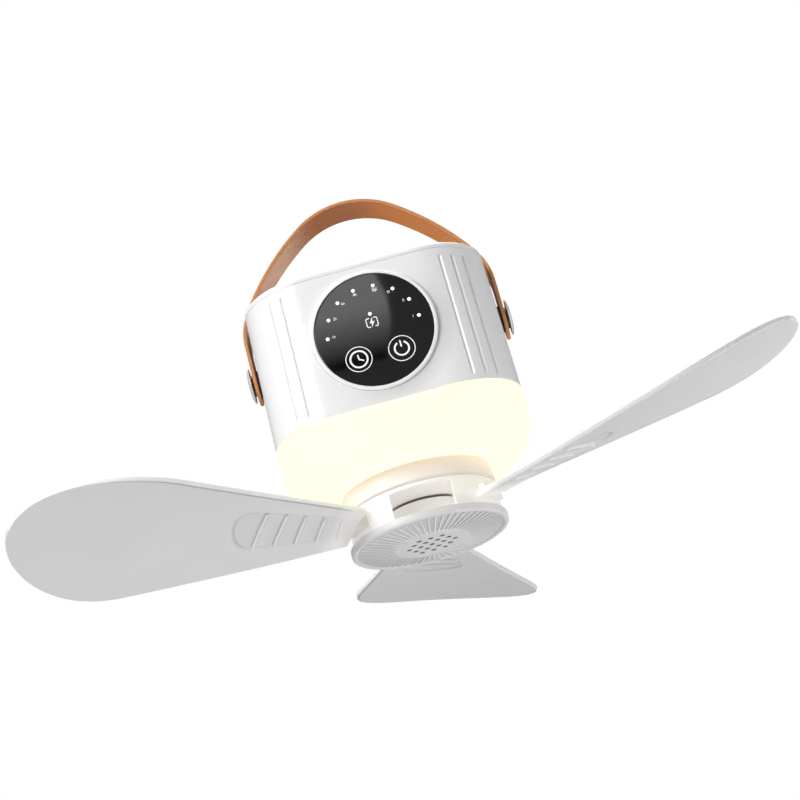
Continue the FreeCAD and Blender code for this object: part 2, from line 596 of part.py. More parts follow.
# ---------------------------------------------------------------- power
cells = []
for i, sy in enumerate((1, -1)):
    can = cyl("cell_can_%d" % (i + 1), D("cell_rad"), D("cell_long") - 1.5, -(D("cell_long") / 2), sy * D("cell_apart"), D("cell_up"), ALONG_X)
    nib = cyl("cell_nib_%d" % (i + 1), 3.0, 2.0, D("cell_long") / 2 - 2.0, sy * D("cell_apart"), D("cell_up"), ALONG_X)
    cells.append(fuse("cell_%d" % (i + 1), can, nib))
node(group("cell_pair", *cells), "battery_cells")
tray = box("tray_block", D("cell_long") + 6, 42, D("holder_high") - D("holder_low"), -(D("cell_long") + 6) / 2, -21, D("holder_low"))
scoops = [cyl("scoop_%d" % (i + 1), D("cell_rad") + 0.15, D("cell_long") + 0.6, -(D("cell_long") + 0.6) / 2, sy * D("cell_apart"), D("cell_up"), ALONG_X)
          for i, sy in enumerate((1, -1))]
scoops.append(box("tray_relief", D("cell_long") - 12, 24, 12, -(D("cell_long") - 12) / 2, -12, D("holder_low") - 1))
node(cut("battery_tray", tray, *scoops), "battery_holder")
pcb = box("board_plate", D("board_wide"), D("board_thick"), D("board_tall"), -(D("board_wide") / 2), D("board_back"), plate_top + 1.6)
chips = [box("board_chip_%d" % (i + 1), lx, 2.2, lz, x, D("board_back") - 2.2, z)
         for i, (lx, lz, x, z) in enumerate(((9, 9, -22, 24), (12, 7, 6, 28), (6, 6, -4, 12), (14, 5, 12, 14)))]
node(fuse("main_board_solid", pcb, *chips), "main_board")
sock = cut("socket_shell", box("socket_block", 9.0, 7.0, 3.2, -4.5, D("board_back") + D("board_thick"), D("socket_up") - 1.6),
           box("socket_mouth", 8.3, 6.2, 2.5, -4.15, D("board_back") + D("board_thick") + 1.2, D("socket_up") - 1.25),
           )
tongue = box("socket_tongue", 6.4, 5.0, 0.7, -3.2, D("board_back") + D("board_thick") + 1.0, D("socket_up") - 0.35)
node(fuse("usb_socket_solid", sock, tongue), "usb_socket")
flap = fuse("flap_full", box("flap_plate", 15.0, 1.3, 8.2, -7.5, 52.75, D("socket_up") - 4.1),
            box("flap_plug", 7.8, 1.2, 2.1, -3.9, 51.7, D("socket_up") - 1.05))
node(flap, "socket_cover")

# ---------------------------------------------------------------- motor
basep = turned("motor_base_body", [
    (D("bearing_rad") + 0.02, -D("collar_low") + 2.05), (D("base_rad"), -D("collar_low") + 2.05), (D("base_rad"), -D("base_top")),
    (D("tube_wall_rad"), -D("base_top")), (D("tube_wall_rad"), -9.0), (D("bearing_rad") + 0.02, -9.0)])
base = cut("motor_base_solid", basep, *polar("base_bore", lambda nm, a: cyl(nm, 1.25, 5, 13.2 * math.cos(math.radians(a)), 13.2 * math.sin(math.radians(a)), -29), 3, 90))
node(base, "motor_base")
core = cut("core_blank", cyl("core_disc", D("core_rad"), D("core_low") - D("core_high"), 0, 0, -D("core_low")),
           cyl("core_bore", D("tube_wall_rad") + 0.03, 14, 0, 0, -24),
           *polar("core_slot", lambda nm, a: box(nm, 5.2, 3.4, 14, 7.6, -1.7, -24), 1, 0),
           )
slots = []
for i in range(9):
    a = 40.0 * i
    slots.append(box("winding_gap_%d" % (i + 1), 5.0, 3.2, 14, 7.8 * math.cos(math.radians(a)) + 1.6 * math.sin(math.radians(a)),
                     7.8 * math.sin(math.radians(a)) - 1.6 * math.cos(math.radians(a)), -24, Rotation(Vector(0, 0, 1), a)))
    slots.append(box("tooth_gap_%d" % (i + 1), 3.0, 1.0, 14, 12.2 * math.cos(math.radians(a)) + 0.5 * math.sin(math.radians(a)),
                     12.2 * math.sin(math.radians(a)) - 0.5 * math.cos(math.radians(a)), -24, Rotation(Vector(0, 0, 1), a)))
node(cut("stator_core", core, *slots), "motor_stator")
coils = []
for i in range(9):
    a = 40.0 * i
    coils.append(box("coil_%d" % (i + 1), 4.4, 2.8, D("core_low") - D("core_high") + 1.6,
                     8.1 * math.cos(math.radians(a)) + 1.4 * math.sin(math.radians(a)),
                     8.1 * math.sin(math.radians(a)) - 1.4 * math.cos(math.radians(a)), -D("core_low") - 0.8, Rotation(Vector(0, 0, 1), a)))
node(group("coil_set", *coils), "motor_windings")


def bearing(name, low):
    return cut(name, cyl(name + "_disc", D("bearing_rad"), 4.0, 0, 0, low), cyl(name + "_bore", D("shaft_rad") + 0.04, 6, 0, 0, dim(low) - 1))


node(group("bearing_pair", bearing("bearing_low", -27.7), bearing("bearing_high", -13.2)), "motor_bearings")
node(group("base_screws", *polar("base_screw", lambda nm, a: screw(nm, 13.2 * math.cos(math.radians(a)), 13.2 * math.sin(math.radians(a)),
                                                                  -D("base_top"), 1.0, 4.0, 1.9, 1.3, up=False), 3, 90)), "motor_screws")

phase = D("rotor_phase") + 90
bell = turned("bell_cup", [
    (D("shaft_rad") + 0.02, -D("bell_top")), (D("bell_rad") - 1.5, -D("bell_top")), (D("bell_rad"), -D("bell_top") - 1.5),
    (D("bell_rad"), -D("bell_low")), (D("bell_rad") - 1.4, -D("bell_low")), (D("bell_rad") - 1.4, -D("bell_top") - 1.6),
    (D("shaft_rad") + 0.02, -D("bell_top") - 1.6)])
node(bell, "motor_bell", turn=phase)
mags = []
for i in range(12):
    a = 30.0 * i
    mags.append(box("magnet_%d" % (i + 1), 1.6, 6.2, D("core_low") - D("core_high") - 1,
                    14.72 * math.cos(math.radians(a)) + 3.1 * math.sin(math.radians(a)),
                    14.72 * math.sin(math.radians(a)) - 3.1 * math.cos(math.radians(a)), -D("core_low") + 0.5, Rotation(Vector(0, 0, 1), a)))
node(common("magnet_ring", fuse("magnet_set", *mags), cyl("magnet_bound", D("bell_rad") - 1.45, 14, 0, 0, -24)), "motor_magnets", turn=phase)
node(cyl("shaft_rod", D("shaft_rad"), 38.0, 0, 0, 0), "motor_shaft", z=-43.3)

# ---------------------------------------------------------------- rotor hub and cap
disc = cyl("hub_disc", D("hub_rad"), D("hub_ceiling") - D("hub_top"), 0, 0, -D("hub_ceiling"))
drum = cyl("hub_drum", D("drum_rad"), D("hub_low") - D("hub_ceiling") + 0.5, 0, 0, -D("hub_low"))
wedge_round = cyl("hub_round", D("hub_rad"), D("hub_low") - D("hub_ceiling") + 0.5, 0, 0, -D("hub_low"))
pk = []
for i in range(3):
    a = 60.0 + 120.0 * i
    w = VAL["pocket_wide"] / 2
    pk.append(box("pocket_%d" % (i + 1), 45, D("pocket_wide"), 20, w * math.sin(math.radians(a)), -w * math.cos(math.radians(a)), -50,
                  Rotation(Vector(0, 0, 1), a)))
wedges = cut("hub_wedges", wedge_round, *pk)
hub_full = fuse("hub_full", disc, drum, wedges)
hc = [cyl("hub_bore", D("shaft_rad") + 0.02, 20, 0, 0, -48), cyl("nut_well", 5.6, 5.0, 0, 0, -D("hub_low") - 1.0)]
g = VAL["slot_gap"]
for i in range(3):
    a = 120.0 * i
    w = VAL["tongue_half"] + g
    hc.append(box("blade_slot_%d" % (i + 1), 20, 2 * (D("tongue_half") + D("slot_gap")), D("tongue_low") - D("tongue_high") + 2 * D("slot_gap"),
                  (VAL["tongue_tip"] - 0.4) * math.cos(math.radians(a)) + w * math.sin(math.radians(a)),
                  (VAL["tongue_tip"] - 0.4) * math.sin(math.radians(a)) - w * math.cos(math.radians(a)),
                  -D("tongue_low") - D("slot_gap"), Rotation(Vector(0, 0, 1), a)))
    hc.append(cyl("cap_peg_hole_%d" % (i + 1), 1.35, 4, 28.5 * math.cos(math.radians(a + 27)), 28.5 * math.sin(math.radians(a + 27)), -D("hub_low") - 1))
node(cut("hub_solid", hub_full, *hc), "rotor_hub", turn=phase)
snut = hex_nut("shaft_hex", 7.0, D("shaft_rad") + 0.02, 2.4)
node(snut, "shaft_nut", z=-42.9)

capb = turned("cap_disc", [
    (0, -D("cap_top")), (D("cap_rad") - 0.3, -D("cap_top")), (D("cap_rad"), -D("cap_top") - 0.3), (D("cap_rad"), -D("cap_low") + 0.9),
    (D("cap_rad") - 0.9, -D("cap_low")), (D("cap_rad") - 3.0, -D("cap_low")), (D("cap_rad") - 3.6, -D("cap_low") + 0.55),
    (D("belly_rad") + 0.9, -D("cap_belly") + 0.65), (D("belly_rad") + 0.3, -D("cap_belly") + 0.1), (D("belly_rad"), -D("cap_belly")),
    (0, -D("cap_belly"))])
adds = [cyl("cap_peg_%d" % (i + 1), 1.25, 3.2, 28.5 * math.cos(math.radians(120.0 * i + 27)), 28.5 * math.sin(math.radians(120.0 * i + 27)), -D("cap_top") - 0.2)
        for i in range(3)]
# sixty fine ribs run out over the shallow cone between belly and rim
slope = math.degrees(math.atan((VAL["cap_belly"] - VAL["cap_low"]) / (VAL["cap_rad"] - 3.2 - VAL["belly_rad"])))
for i in range(60):
    a = 6.0 * i
    adds.append(box("cap_rib_%d" % (i + 1), 15.4, 0.75, 1.0, 16.2 * math.cos(math.radians(a)) + 0.375 * math.sin(math.radians(a)),
                    16.2 * math.sin(math.radians(a)) - 0.375 * math.cos(math.radians(a)), -D("cap_belly") + 0.03,
                    Rotation(Vector(0, 0, 1), a) * Rotation(Vector(0, 1, 0), -slope)))
cc = [cyl("nut_room", 5.6, 2.4, 0, 0, -D("cap_top") - 1.4)]
# nineteen small air holes on a hexagonal grid whose rows run along X when the fan stands as drawn
row = 0
pitch = VAL["vent_pitch"]
for q in range(-2, 3):
    for r_ in range(-2, 3):
        if abs(q + r_) <= 2:
            row += 1
            x, y = pitch * (q + r_ / 2.0), pitch * r_ * math.sqrt(3) / 2
            t = math.radians(-VAL["rotor_phase"] - 90)
            cc.append(cyl("vent_%d" % row, D("vent_rad"), 4.2, x * math.cos(t) - y * math.sin(t), x * math.sin(t) + y * math.cos(t), -D("cap_belly") - 1.0))
node(cut("cap_solid", fuse("cap_full", capb, *adds), *cc), "hub_cap", turn=phase)


# ---------------------------------------------------------------- blades
def pitch_at(r):
    t = (r - 36.0) / 100.0
    return 15.37 - 6.73 * t + 2.56 * t * t


def rise_at(r):
    t = (r - 36.0) / 100.0
    return -37.03 + (r - 36.0) * math.tan(math.radians(2.6)) + 3.47 * t * t


def arc_band(s, half):
    """Section of the blade plate: a thin band bent to the camber radius."""
    rho, th = VAL["blade_camber"], VAL["blade_thick"]
    a = math.asin(half / rho)
    up, lo = rho + th / 2, rho - th / 2
    c = Vector(0, -rho, 0)
    g = s.GeometryCount
    s.addGeometry(Part.ArcOfCircle(Part.Circle(c, Vector(0, 0, 1), up), math.pi / 2 - a, math.pi / 2 + a), False)
    s.addGeometry(Part.LineSegment(Vector(-up * math.sin(a), -rho + up * math.cos(a), 0), Vector(-lo * math.sin(a), -rho + lo * math.cos(a), 0)), False)
    s.addGeometry(Part.ArcOfCircle(Part.Circle(c, Vector(0, 0, 1), lo), math.pi / 2 - a, math.pi / 2 + a), False)
    s.addGeometry(Part.LineSegment(Vector(lo * math.sin(a), -rho + lo * math.cos(a), 0), Vector(up * math.sin(a), -rho + up * math.cos(a), 0)), False)
    s.addConstraint(Sketcher.Constraint("Coincident", g, 2, g + 1, 1))
    s.addConstraint(Sketcher.Constraint("Coincident", g + 1, 2, g + 2, 2))
    s.addConstraint(Sketcher.Constraint("Coincident", g + 2, 1, g + 3, 1))
    s.addConstraint(Sketcher.Constraint("Coincident", g + 3, 2, g, 1))
    s.addConstraint(Sketcher.Constraint("Coincident", g, 3, g + 2, 3))
    s.addConstraint(Sketcher.Constraint("PointOnObject", g, 3, -2))
    tie(s, "Radius", (g,), D("blade_camber") + D("blade_thick") / 2)
    tie(s, "Radius", (g + 2,), D("blade_camber") - D("blade_thick") / 2)


def bezier(p):
    c = Part.BezierCurve()
    c.setPoles([Vector(x, y, 0) for x, y in p])
    return c.toBSpline()


def rect(s, w, h, r=None):
    w, h = w / 2.0, h / 2.0
    polygon(s, [(-w, -h), (w, -h), (w, h), (-w, h)])


def make_blade(tag, angle):
    b = body("blade_%s_body" % tag)
    secs = []
    for i, r in enumerate((32.0, 62.0, 95.0, 130.0, 162.0, 190.0)):
        s = sketch(b, "blade_%s_sec_%d" % (tag, i), "YZ_Plane", (0, rise_at(r), r), pitch_at(r))
        arc_band(s, 58.0)
        secs.append(s)
    loft(b, "blade_%s_sheet" % tag, secs)
    # plan outline: straight edges that widen outwards, then a round end
    cs = lambda r: math.cos(math.radians(pitch_at(r)))
    tipx, tipy = VAL["blade_tip"], -6.24
    f0, f1 = (VAL["blade_start"], 11.1), (125.46, 36.45)
    k0, k1 = (VAL["blade_start"], -13.3), (125.09, -46.1)

    def unit(p, q):
        d = math.hypot(q[0] - p[0], q[1] - p[1])
        return ((q[0] - p[0]) / d, (q[1] - p[1]) / d)

    df, db = unit(f0, f1), unit(k0, k1)
    cf1 = (f1[0] + df[0] * 0.6 * (tipx - f1[0]), f1[1] + df[1] * 0.6 * (tipx - f1[0]))
    cf2 = (tipx, tipy + 0.65 * (f1[1] - tipy))
    cb1 = (k1[0] + db[0] * 0.56 * (tipx - k1[0]), k1[1] + db[1] * 0.56 * (tipx - k1[0]))
    cb2 = (tipx, tipy - 0.66 * (-k1[1] + tipy))
    flat = lambda p: (p[0], p[1] * cs(p[0]))
    s = sketch(b, "blade_%s_outline" % tag, "XY_Plane")
    polygon(s, [(20, -90), (230, -90), (230, 90), (20, 90)])
    P = [flat(p) for p in (f0, f1, cf1, cf2, (tipx, tipy), cb2, cb1, k1, k0)]
    s.addGeometry(Part.LineSegment(Vector(P[0][0], P[0][1], 0), Vector(P[1][0], P[1][1], 0)), False)
    s.addGeometry(bezier([P[1], P[2], P[3], P[4]]), False)
    s.addGeometry(bezier([P[4], P[5], P[6], P[7]]), False)
    s.addGeometry(Part.LineSegment(Vector(P[7][0], P[7][1], 0), Vector(P[8][0], P[8][1], 0)), False)
    s.addGeometry(Part.LineSegment(Vector(P[8][0], P[8][1], 0), Vector(P[0][0], P[0][1], 0)), False)
    pocket_all(b, "blade_%s_trim" % tag, s)
    # root: a thick foot that thins into the plate
    rb = body("blade_%s_root" % tag)
    secs = []
    for i, (r, w, h_) in enumerate(((VAL["blade_start"], 20.6, 5.2), (37.0, 20.2, 4.2), (42.5, 19.0, 3.0), (49.0, 17.6, 1.9))):
        s = sketch(rb, "root_%s_sec_%d" % (tag, i), "YZ_Plane", (-1.6, rise_at(r) - 0.05, r), pitch_at(r))
        rect(s, w, h_)
        secs.append(s)
    loft(rb, "root_%s_foot" % tag, secs)
    tong = box("tongue_%s" % tag, D("blade_start") - D("tongue_tip") + 1.0, 2 * D("tongue_half"), D("tongue_low") - D("tongue_high"),
               D("tongue_tip"), -D("tongue_half"), -D("tongue_low"))
    # finger grip: five cross ribs on the underside
    ribs = []
    for i, (r, c0, c1) in enumerate(((78.9, -12.6, 11.8), (69.5, -11.4, 10.2), (60.3, -10.3, 9.0), (50.9, -8.8, 6.8), (42.0, -6.8, 4.2))):
        be = math.radians(pitch_at(r))
        cm = (c0 + c1) / 2.0
        drop = cm * cm / (2 * VAL["blade_camber"])
        up = -drop - VAL["blade_thick"] / 2 - VAL["rib_high"] + 0.12
        ry = c0 * math.cos(be) - up * math.sin(be)
        rz = rise_at(r) + c0 * math.sin(be) + up * math.cos(be)
        ribs.append(box("rib_%s_%d" % (tag, i + 1), D("rib_wide"), c1 - c0, D("rib_high") + 0.5, r - VAL["rib_wide"] / 2, ry, rz,
                        Rotation(Vector(1, 0, 0), pitch_at(r))))
    blade = fuse("blade_%s_solid" % tag, b, rb, tong, *ribs)
    node(blade, "blade_%s" % tag, turn=phase + angle)


make_blade("a", 0)
make_blade("b", 120)
make_blade("c", 240)

doc.recompute()

# ---------------------------------------------------------------- check and write
bad = [o.Name for o in doc.Objects if "Invalid" in o.State or "Error" in o.State]
if bad:
    raise RuntimeError("objects that failed: %s" % bad)
os.makedirs("parts", exist_ok=True)
for o in NODES:
    sh = o.Shape
    if sh.isNull() or not sh.isValid() or not sh.Solids:
        raise RuntimeError("bad shape: " + o.Label)
for o in NODES:
    o.Shape.exportStep(os.path.join("parts", o.Label + ".step"))
    bb = o.Shape.BoundBox
    print("%-16s solids %2d vol %9.1f  x %.2f..%.2f y %.2f..%.2f z %.2f..%.2f" % (
        o.Label, len(o.Shape.Solids), o.Shape.Volume, bb.XMin, bb.XMax, bb.YMin, bb.YMax, bb.ZMin, bb.ZMax))
print(len(NODES), "nodes")
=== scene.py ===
import bpy, bmesh, math
import numpy as np
from mathutils import Vector, Matrix
from mathutils.geometry import delaunay_2d_cdt


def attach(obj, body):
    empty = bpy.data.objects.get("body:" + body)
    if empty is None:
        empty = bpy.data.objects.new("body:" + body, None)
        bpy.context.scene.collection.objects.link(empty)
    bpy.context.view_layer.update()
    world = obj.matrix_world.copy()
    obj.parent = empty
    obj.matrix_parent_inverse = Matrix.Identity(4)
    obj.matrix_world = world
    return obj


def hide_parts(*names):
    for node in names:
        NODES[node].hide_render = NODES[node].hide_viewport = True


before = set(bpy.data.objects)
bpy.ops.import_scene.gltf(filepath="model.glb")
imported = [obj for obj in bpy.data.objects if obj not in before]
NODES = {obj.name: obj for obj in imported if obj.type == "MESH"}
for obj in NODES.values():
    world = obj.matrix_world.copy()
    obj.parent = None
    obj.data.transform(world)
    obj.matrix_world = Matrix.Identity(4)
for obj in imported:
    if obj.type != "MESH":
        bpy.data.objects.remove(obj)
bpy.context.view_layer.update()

SC = bpy.context.scene

# Hanging camping fan. Lengths below are millimetres; heights are counted from the seam between shell
# and diffuser, which lies HD below the hook point that is the frame's origin.
HD = 112.2
PANEL = 32.16
PIVOT = 42.6
PHASE = 92.0


# ------------------------------------------------------------------ mesh helpers
def smooth01(t):
    t = np.clip(t, 0.0, 1.0)
    return t * t * (3 - 2 * t)


def finish_mesh(me, angle):
    bm = bmesh.new()
    bm.from_mesh(me)
    bmesh.ops.remove_doubles(bm, verts=bm.verts, dist=2e-7)
    bmesh.ops.dissolve_degenerate(bm, edges=bm.edges, dist=1e-7)
    bmesh.ops.recalc_face_normals(bm, faces=bm.faces)
    bm.to_mesh(me)
    bm.free()
    me.polygons.foreach_set("use_smooth", [True] * len(me.polygons))
    me.set_sharp_from_angle(angle=math.radians(angle))
    me.update()


def raw(name, V, F, mi=None):
    me = bpy.data.meshes.new(name)
    V = np.asarray(V, float)
    W = np.column_stack([V[:, 0], V[:, 1], V[:, 2] - HD]) * 0.001
    me.from_pydata([tuple(v) for v in W], [], [tuple(int(i) for i in f) for f in F])
    if mi is not None:
        me.polygons.foreach_set("material_index", mi)
    me.update()
    o = bpy.data.objects.new(name, me)
    SC.collection.objects.link(o)
    return o


def merge(parts):
    """Joins (V, F) pairs."""
    V, F, n = [], [], 0
    for v, f in parts:
        V.append(np.asarray(v, float))
        F += [tuple(i + n for i in q) for q in f]
        n += len(v)
    return np.vstack(V), F


def carve(o, cutters, op="DIFFERENCE"):
    V, F = merge(cutters)
    c = raw("cutter", V, F)
    finish_mesh(c.data, 30)
    m = o.modifiers.new("carve", "BOOLEAN")
    m.operation, m.solver, m.object = op, "EXACT", c
    dg = bpy.context.evaluated_depsgraph_get()
    me = bpy.data.meshes.new_from_object(o.evaluated_get(dg))
    o.modifiers.clear()
    o.data = me
    bpy.data.objects.remove(c)
    return o


def round_edges(o, width, angle=35, seg=3):
    m = o.modifiers.new("round", "BEVEL")
    m.width, m.segments, m.limit_method, m.angle_limit = width * 0.001, seg, "ANGLE", math.radians(angle)
    m.harden_normals = False
    dg = bpy.context.evaluated_depsgraph_get()
    me = bpy.data.meshes.new_from_object(o.evaluated_get(dg))
    o.modifiers.clear()
    o.data = me
    return o


def publish(o, body, mats, nodes=(), angle=32):
    finish_mesh(o.data, angle)
    idx = np.zeros(len(o.data.polygons), dtype=np.int32)
    if len(mats) > 1:
        o.data.polygons.foreach_get("material_index", idx)
    o.data.materials.clear()
    for m in mats:
        o.data.materials.append(m)
    o.data.polygons.foreach_set("material_index", idx)
    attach(o, body)
    if nodes:
        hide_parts(*nodes)
    return o


def tube(rings, loop=True, cap0=False, cap1=False, closed=True):
    """Quads between rings that all have the same number of points."""
    n = len(rings[0])
    V = np.vstack(rings)
    F = []
    m = len(rings)
    for i in range(m if loop else m - 1):
        j = (i + 1) % m
        for k in range(n if closed else n - 1):
            l = (k + 1) % n
            F.append((i * n + k, i * n + l, j * n + l, j * n + k))
    if cap0:
        F.append(tuple(range(n))[::-1])
    if cap1:
        F.append(tuple((m - 1) * n + k for k in range(n)))
    return V, F


def fillet(pts, radii, seg=6):
    """Rounds the corners of a closed polygon; radii is one number or one for each corner."""
    n = len(pts)
    if not hasattr(radii, "__len__"):
        radii = [radii] * n
    out = []
    for i in range(n):
        a, p, b = (np.array(pts[(i + k) % n], float) for k in (-1, 0, 1))
        r = radii[i]
        u, v = a - p, b - p
        lu, lv = np.linalg.norm(u), np.linalg.norm(v)
        if r <= 0 or lu < 1e-9 or lv < 1e-9:
            out.append(p)
            continue
        u, v = u / lu, v / lv
        c = float(np.clip(u @ v, -1, 1))
        half = math.acos(c) / 2
        if half > math.pi / 2 - 0.02:
            out.append(p)
            continue
        t = min(r / math.tan(half), 0.48 * lu, 0.48 * lv)
        r = t * math.tan(half)
        m = (u + v) / np.linalg.norm(u + v)
        cen = p + m * (r / math.sin(half))
        s0, s1 = p + u * t - cen, p + v * t - cen
        ang = math.acos(float(np.clip((s0 @ s1) / (r * r), -1, 1)))
        cr = s0[0] * s1[1] - s0[1] * s1[0]
        for k in range(seg + 1):
            w = ang * k / seg * (1 if cr > 0 else -1)
            out.append(cen + np.array([s0[0] * math.cos(w) - s0[1] * math.sin(w), s0[0] * math.sin(w) + s0[1] * math.cos(w)]))
    return out


def support(pts, eps=0.12, closed=True):
    """Adds a point close to each end of a long straight, so that flats stay flat in the shading."""
    out = []
    n = len(pts)
    for i in range(n if closed else n - 1):
        a, b = np.array(pts[i], float), np.array(pts[(i + 1) % n], float)
        L = np.linalg.norm(b - a)
        out.append(a)
        if L > 6 * eps:
            out.append(a + (b - a) / L * eps)
            out.append(b - (b - a) / L * eps)
    if not closed:
        out.append(np.array(pts[-1], float))
    return out


def lathe(profile, axis="Z", at=0.0, n=144, closed=True):
    """Turns (radius, height) points round Z, or round X or Y at height `at`. A profile whose first and last points lie on the axis is open."""
    t = np.linspace(0, 2 * math.pi, n, endpoint=False)
    V, rows = [], []
    for r, h in profile:
        if r < 1e-6:
            rows.append([len(V)])
            ring = [(0.0, 0.0)]
        else:
            rows.append(list(range(len(V), len(V) + n)))
            ring = list(zip(r * np.cos(t), r * np.sin(t)))
        for a, b in ring:
            V.append((a, b, h) if axis == "Z" else (h, a, b + at) if axis == "X" else (a, h, b + at))
    F = []
    m = len(rows)
    for i in range(m if closed else m - 1):
        A, B = rows[i], rows[(i + 1) % m]
        if len(A) == 1 and len(B) == 1:
            continue
        for k in range(n):
            l = (k + 1) % n
            if len(A) == 1:
                F.append((A[0], B[l], B[k]))
            elif len(B) == 1:
                F.append((A[k], A[l], B[0]))
            else:
                F.append((A[k], A[l], B[l], B[k]))
    return np.array(V), F


def rsq(a, r, z, inset=0.0, nl=6, na=16):
    """A level ring on a square of half width a with corner radius r, its z given."""
    a, r = a - inset, max(r - inset, 0.4)
    k = a - r
    P = []
    for q in range(4):
        cx, cy = ((k, k), (-k, k), (-k, -k), (k, -k))[q]
        a0 = q * math.pi / 2
        for i in range(na + 1):
            w = a0 + math.pi / 2 * i / na
            P.append((cx + r * math.cos(w), cy + r * math.sin(w), z))
        ex, ey = P[-1][0], P[-1][1]
        nx, ny = ((-k, a), (-a, -k), (k, -a), (a, k))[q]
        for i in range(1, nl):
            P.append((ex + (nx - ex) * i / nl, ey + (ny - ey) * i / nl, z))
    return np.array(P)


def seg_dist(P, loop, closed=True):
    """Distance from each point to a polyline."""
    P = np.asarray(P, float)
    A = np.asarray(loop, float)
    B = np.roll(A, -1, 0)
    if not closed:
        A, B = A[:-1], B[:-1]
    best = np.full(len(P), 1e9)
    for a, b in zip(A, B):
        ab = b - a
        L = float(ab @ ab)
        if L < 1e-12:
            continue
        t = np.clip(((P - a) @ ab) / L, 0, 1)
        best = np.minimum(best, np.hypot(*(P - a - t[:, None] * ab).T))
    return best


def inside(P, loop):
    P = np.asarray(P, float)
    A = np.asarray(loop, float)
    B = np.roll(A, -1, 0)
    c = np.zeros(len(P), bool)
    for (x0, y0), (x1, y1) in zip(A, B):
        hit = (y0 > P[:, 1]) != (y1 > P[:, 1])
        if abs(y1 - y0) > 1e-12:
            c ^= hit & (P[:, 0] < (x1 - x0) * (P[:, 1] - y0) / (y1 - y0) + x0)
    return c


def offset(loop, d):
    """Moves a counter-clockwise loop inwards by d."""
    P = np.asarray(loop, float)
    e0 = P - np.roll(P, 1, 0)
    e1 = np.roll(P, -1, 0) - P
    e0 /= np.linalg.norm(e0, axis=1)[:, None]
    e1 /= np.linalg.norm(e1, axis=1)[:, None]
    n0 = np.column_stack([-e0[:, 1], e0[:, 0]])
    n1 = np.column_stack([-e1[:, 1], e1[:, 0]])
    m = n0 + n1
    m /= np.linalg.norm(m, axis=1)[:, None]
    k = 1 / np.maximum(0.35, (m * n0).sum(1))
    return P + m * (d * k)[:, None]


def spline(pts, n, closed=True):
    """Smooth curve through the points (centripetal)."""
    P = np.asarray(pts, float)
    m = len(P)
    out = []
    for i in range(m if closed else m - 1):
        idx = [(i - 1), i, (i + 1), (i + 2)]
        idx = [k % m for k in idx] if closed else [min(max(k, 0), m - 1) for k in idx]
        p0, p1, p2, p3 = P[idx]
        for k in range(n):
            t = k / n
            out.append(0.5 * ((2 * p1) + (p2 - p0) * t + (2 * p0 - 5 * p1 + 4 * p2 - p3) * t * t + (3 * p1 - p0 - 3 * p2 + p3) * t ** 3))
    if not closed:
        out.append(P[-1])
    return np.array(out)


def plate(outline, ds, hs, holes, features, grid, mapf, top=None, bot=None):
    """A thin plate: outline and holes in the flat (u, v) plane, edge rounding from (ds, hs), mapped to space by mapf."""
    pts, edges = [], []

    def add(loop, closed=True):
        b = len(pts)
        pts.extend([tuple(p) for p in loop])
        m = len(loop)
        edges.extend([(b + k, b + (k + 1) % m) for k in range(m if closed else m - 1)])

    for d in ds:
        add(outline if d == 0 else offset(outline, d))
    for h in holes:
        for d in ds:
            add(h if d == 0 else offset(h, -d))
    for f, cl in features:
        add(f, cl)
    G = np.asarray(grid, float)
    keep = inside(G, outline) & (seg_dist(G, outline) > ds[-1] + 0.35)
    for h in holes:
        keep &= ~inside(G, h) & (seg_dist(G, h) > ds[-1] + 0.35)
    G = G[keep]
    for f, cl in features:
        G = G[seg_dist(G, f, cl) > 0.22]
    pts.extend([tuple(p) for p in G])
    res = delaunay_2d_cdt([Vector(p) for p in pts], edges, [], 0, 1e-5)
    P = np.array([(v.x, v.y) for v in res[0]])
    T = np.array([tuple(f) for f in res[2]], int)
    cen = P[T].mean(1)
    ok = inside(cen, outline)
    for h in holes:
        ok &= ~inside(cen, h)
    T = T[ok]
    d = seg_dist(P, outline)
    for h in holes:
        d = np.minimum(d, seg_dist(P, h))
    d[d < 2e-4] = 0
    h = np.interp(d, ds, hs)
    Q, N = mapf(P)
    up = h + (top(P, d) if top is not None else 0)
    dn = h + (bot(P, d) if bot is not None else 0)
    V = np.vstack([Q + N * up[:, None], Q - N * dn[:, None]])
    n = len(P)
    F = [tuple(t) for t in T] + [(t[0] + n, t[2] + n, t[1] + n) for t in T]
    cnt = {}
    for t in T:
        for a, b in ((t[0], t[1]), (t[1], t[2]), (t[2], t[0])):
            cnt[(a, b)] = 1
    side = [(a, b) for (a, b) in cnt if (b, a) not in cnt]
    F += [(b, a, a + n, b + n) for a, b in side]
    return V, F, n, P, T, d


# ------------------------------------------------------------------ materials
def material(name):
    m = bpy.data.materials.new(name)
    m.use_nodes = True
    nt = m.node_tree
    nt.nodes.clear()
    out = nt.nodes.new("ShaderNodeOutputMaterial")
    b = nt.nodes.new("ShaderNodeBsdfPrincipled")
    nt.links.new(b.outputs["BSDF"], out.inputs["Surface"])
    return m, nt, b


def coords(nt):
    return nt.nodes.new("ShaderNodeTexCoord").outputs["Object"]


def noise(nt, vec, scale, detail=2.0, rough=0.5, stretch=None):
    if stretch is not None:
        mp = nt.nodes.new("ShaderNodeMapping")
        mp.inputs["Scale"].default_value = stretch
        nt.links.new(vec, mp.inputs["Vector"])
        vec = mp.outputs["Vector"]
    t = nt.nodes.new("ShaderNodeTexNoise")
    t.inputs["Scale"].default_value = scale
    t.inputs["Detail"].default_value = detail
    t.inputs["Roughness"].default_value = rough
    nt.links.new(vec, t.inputs["Vector"])
    return t.outputs["Fac"]


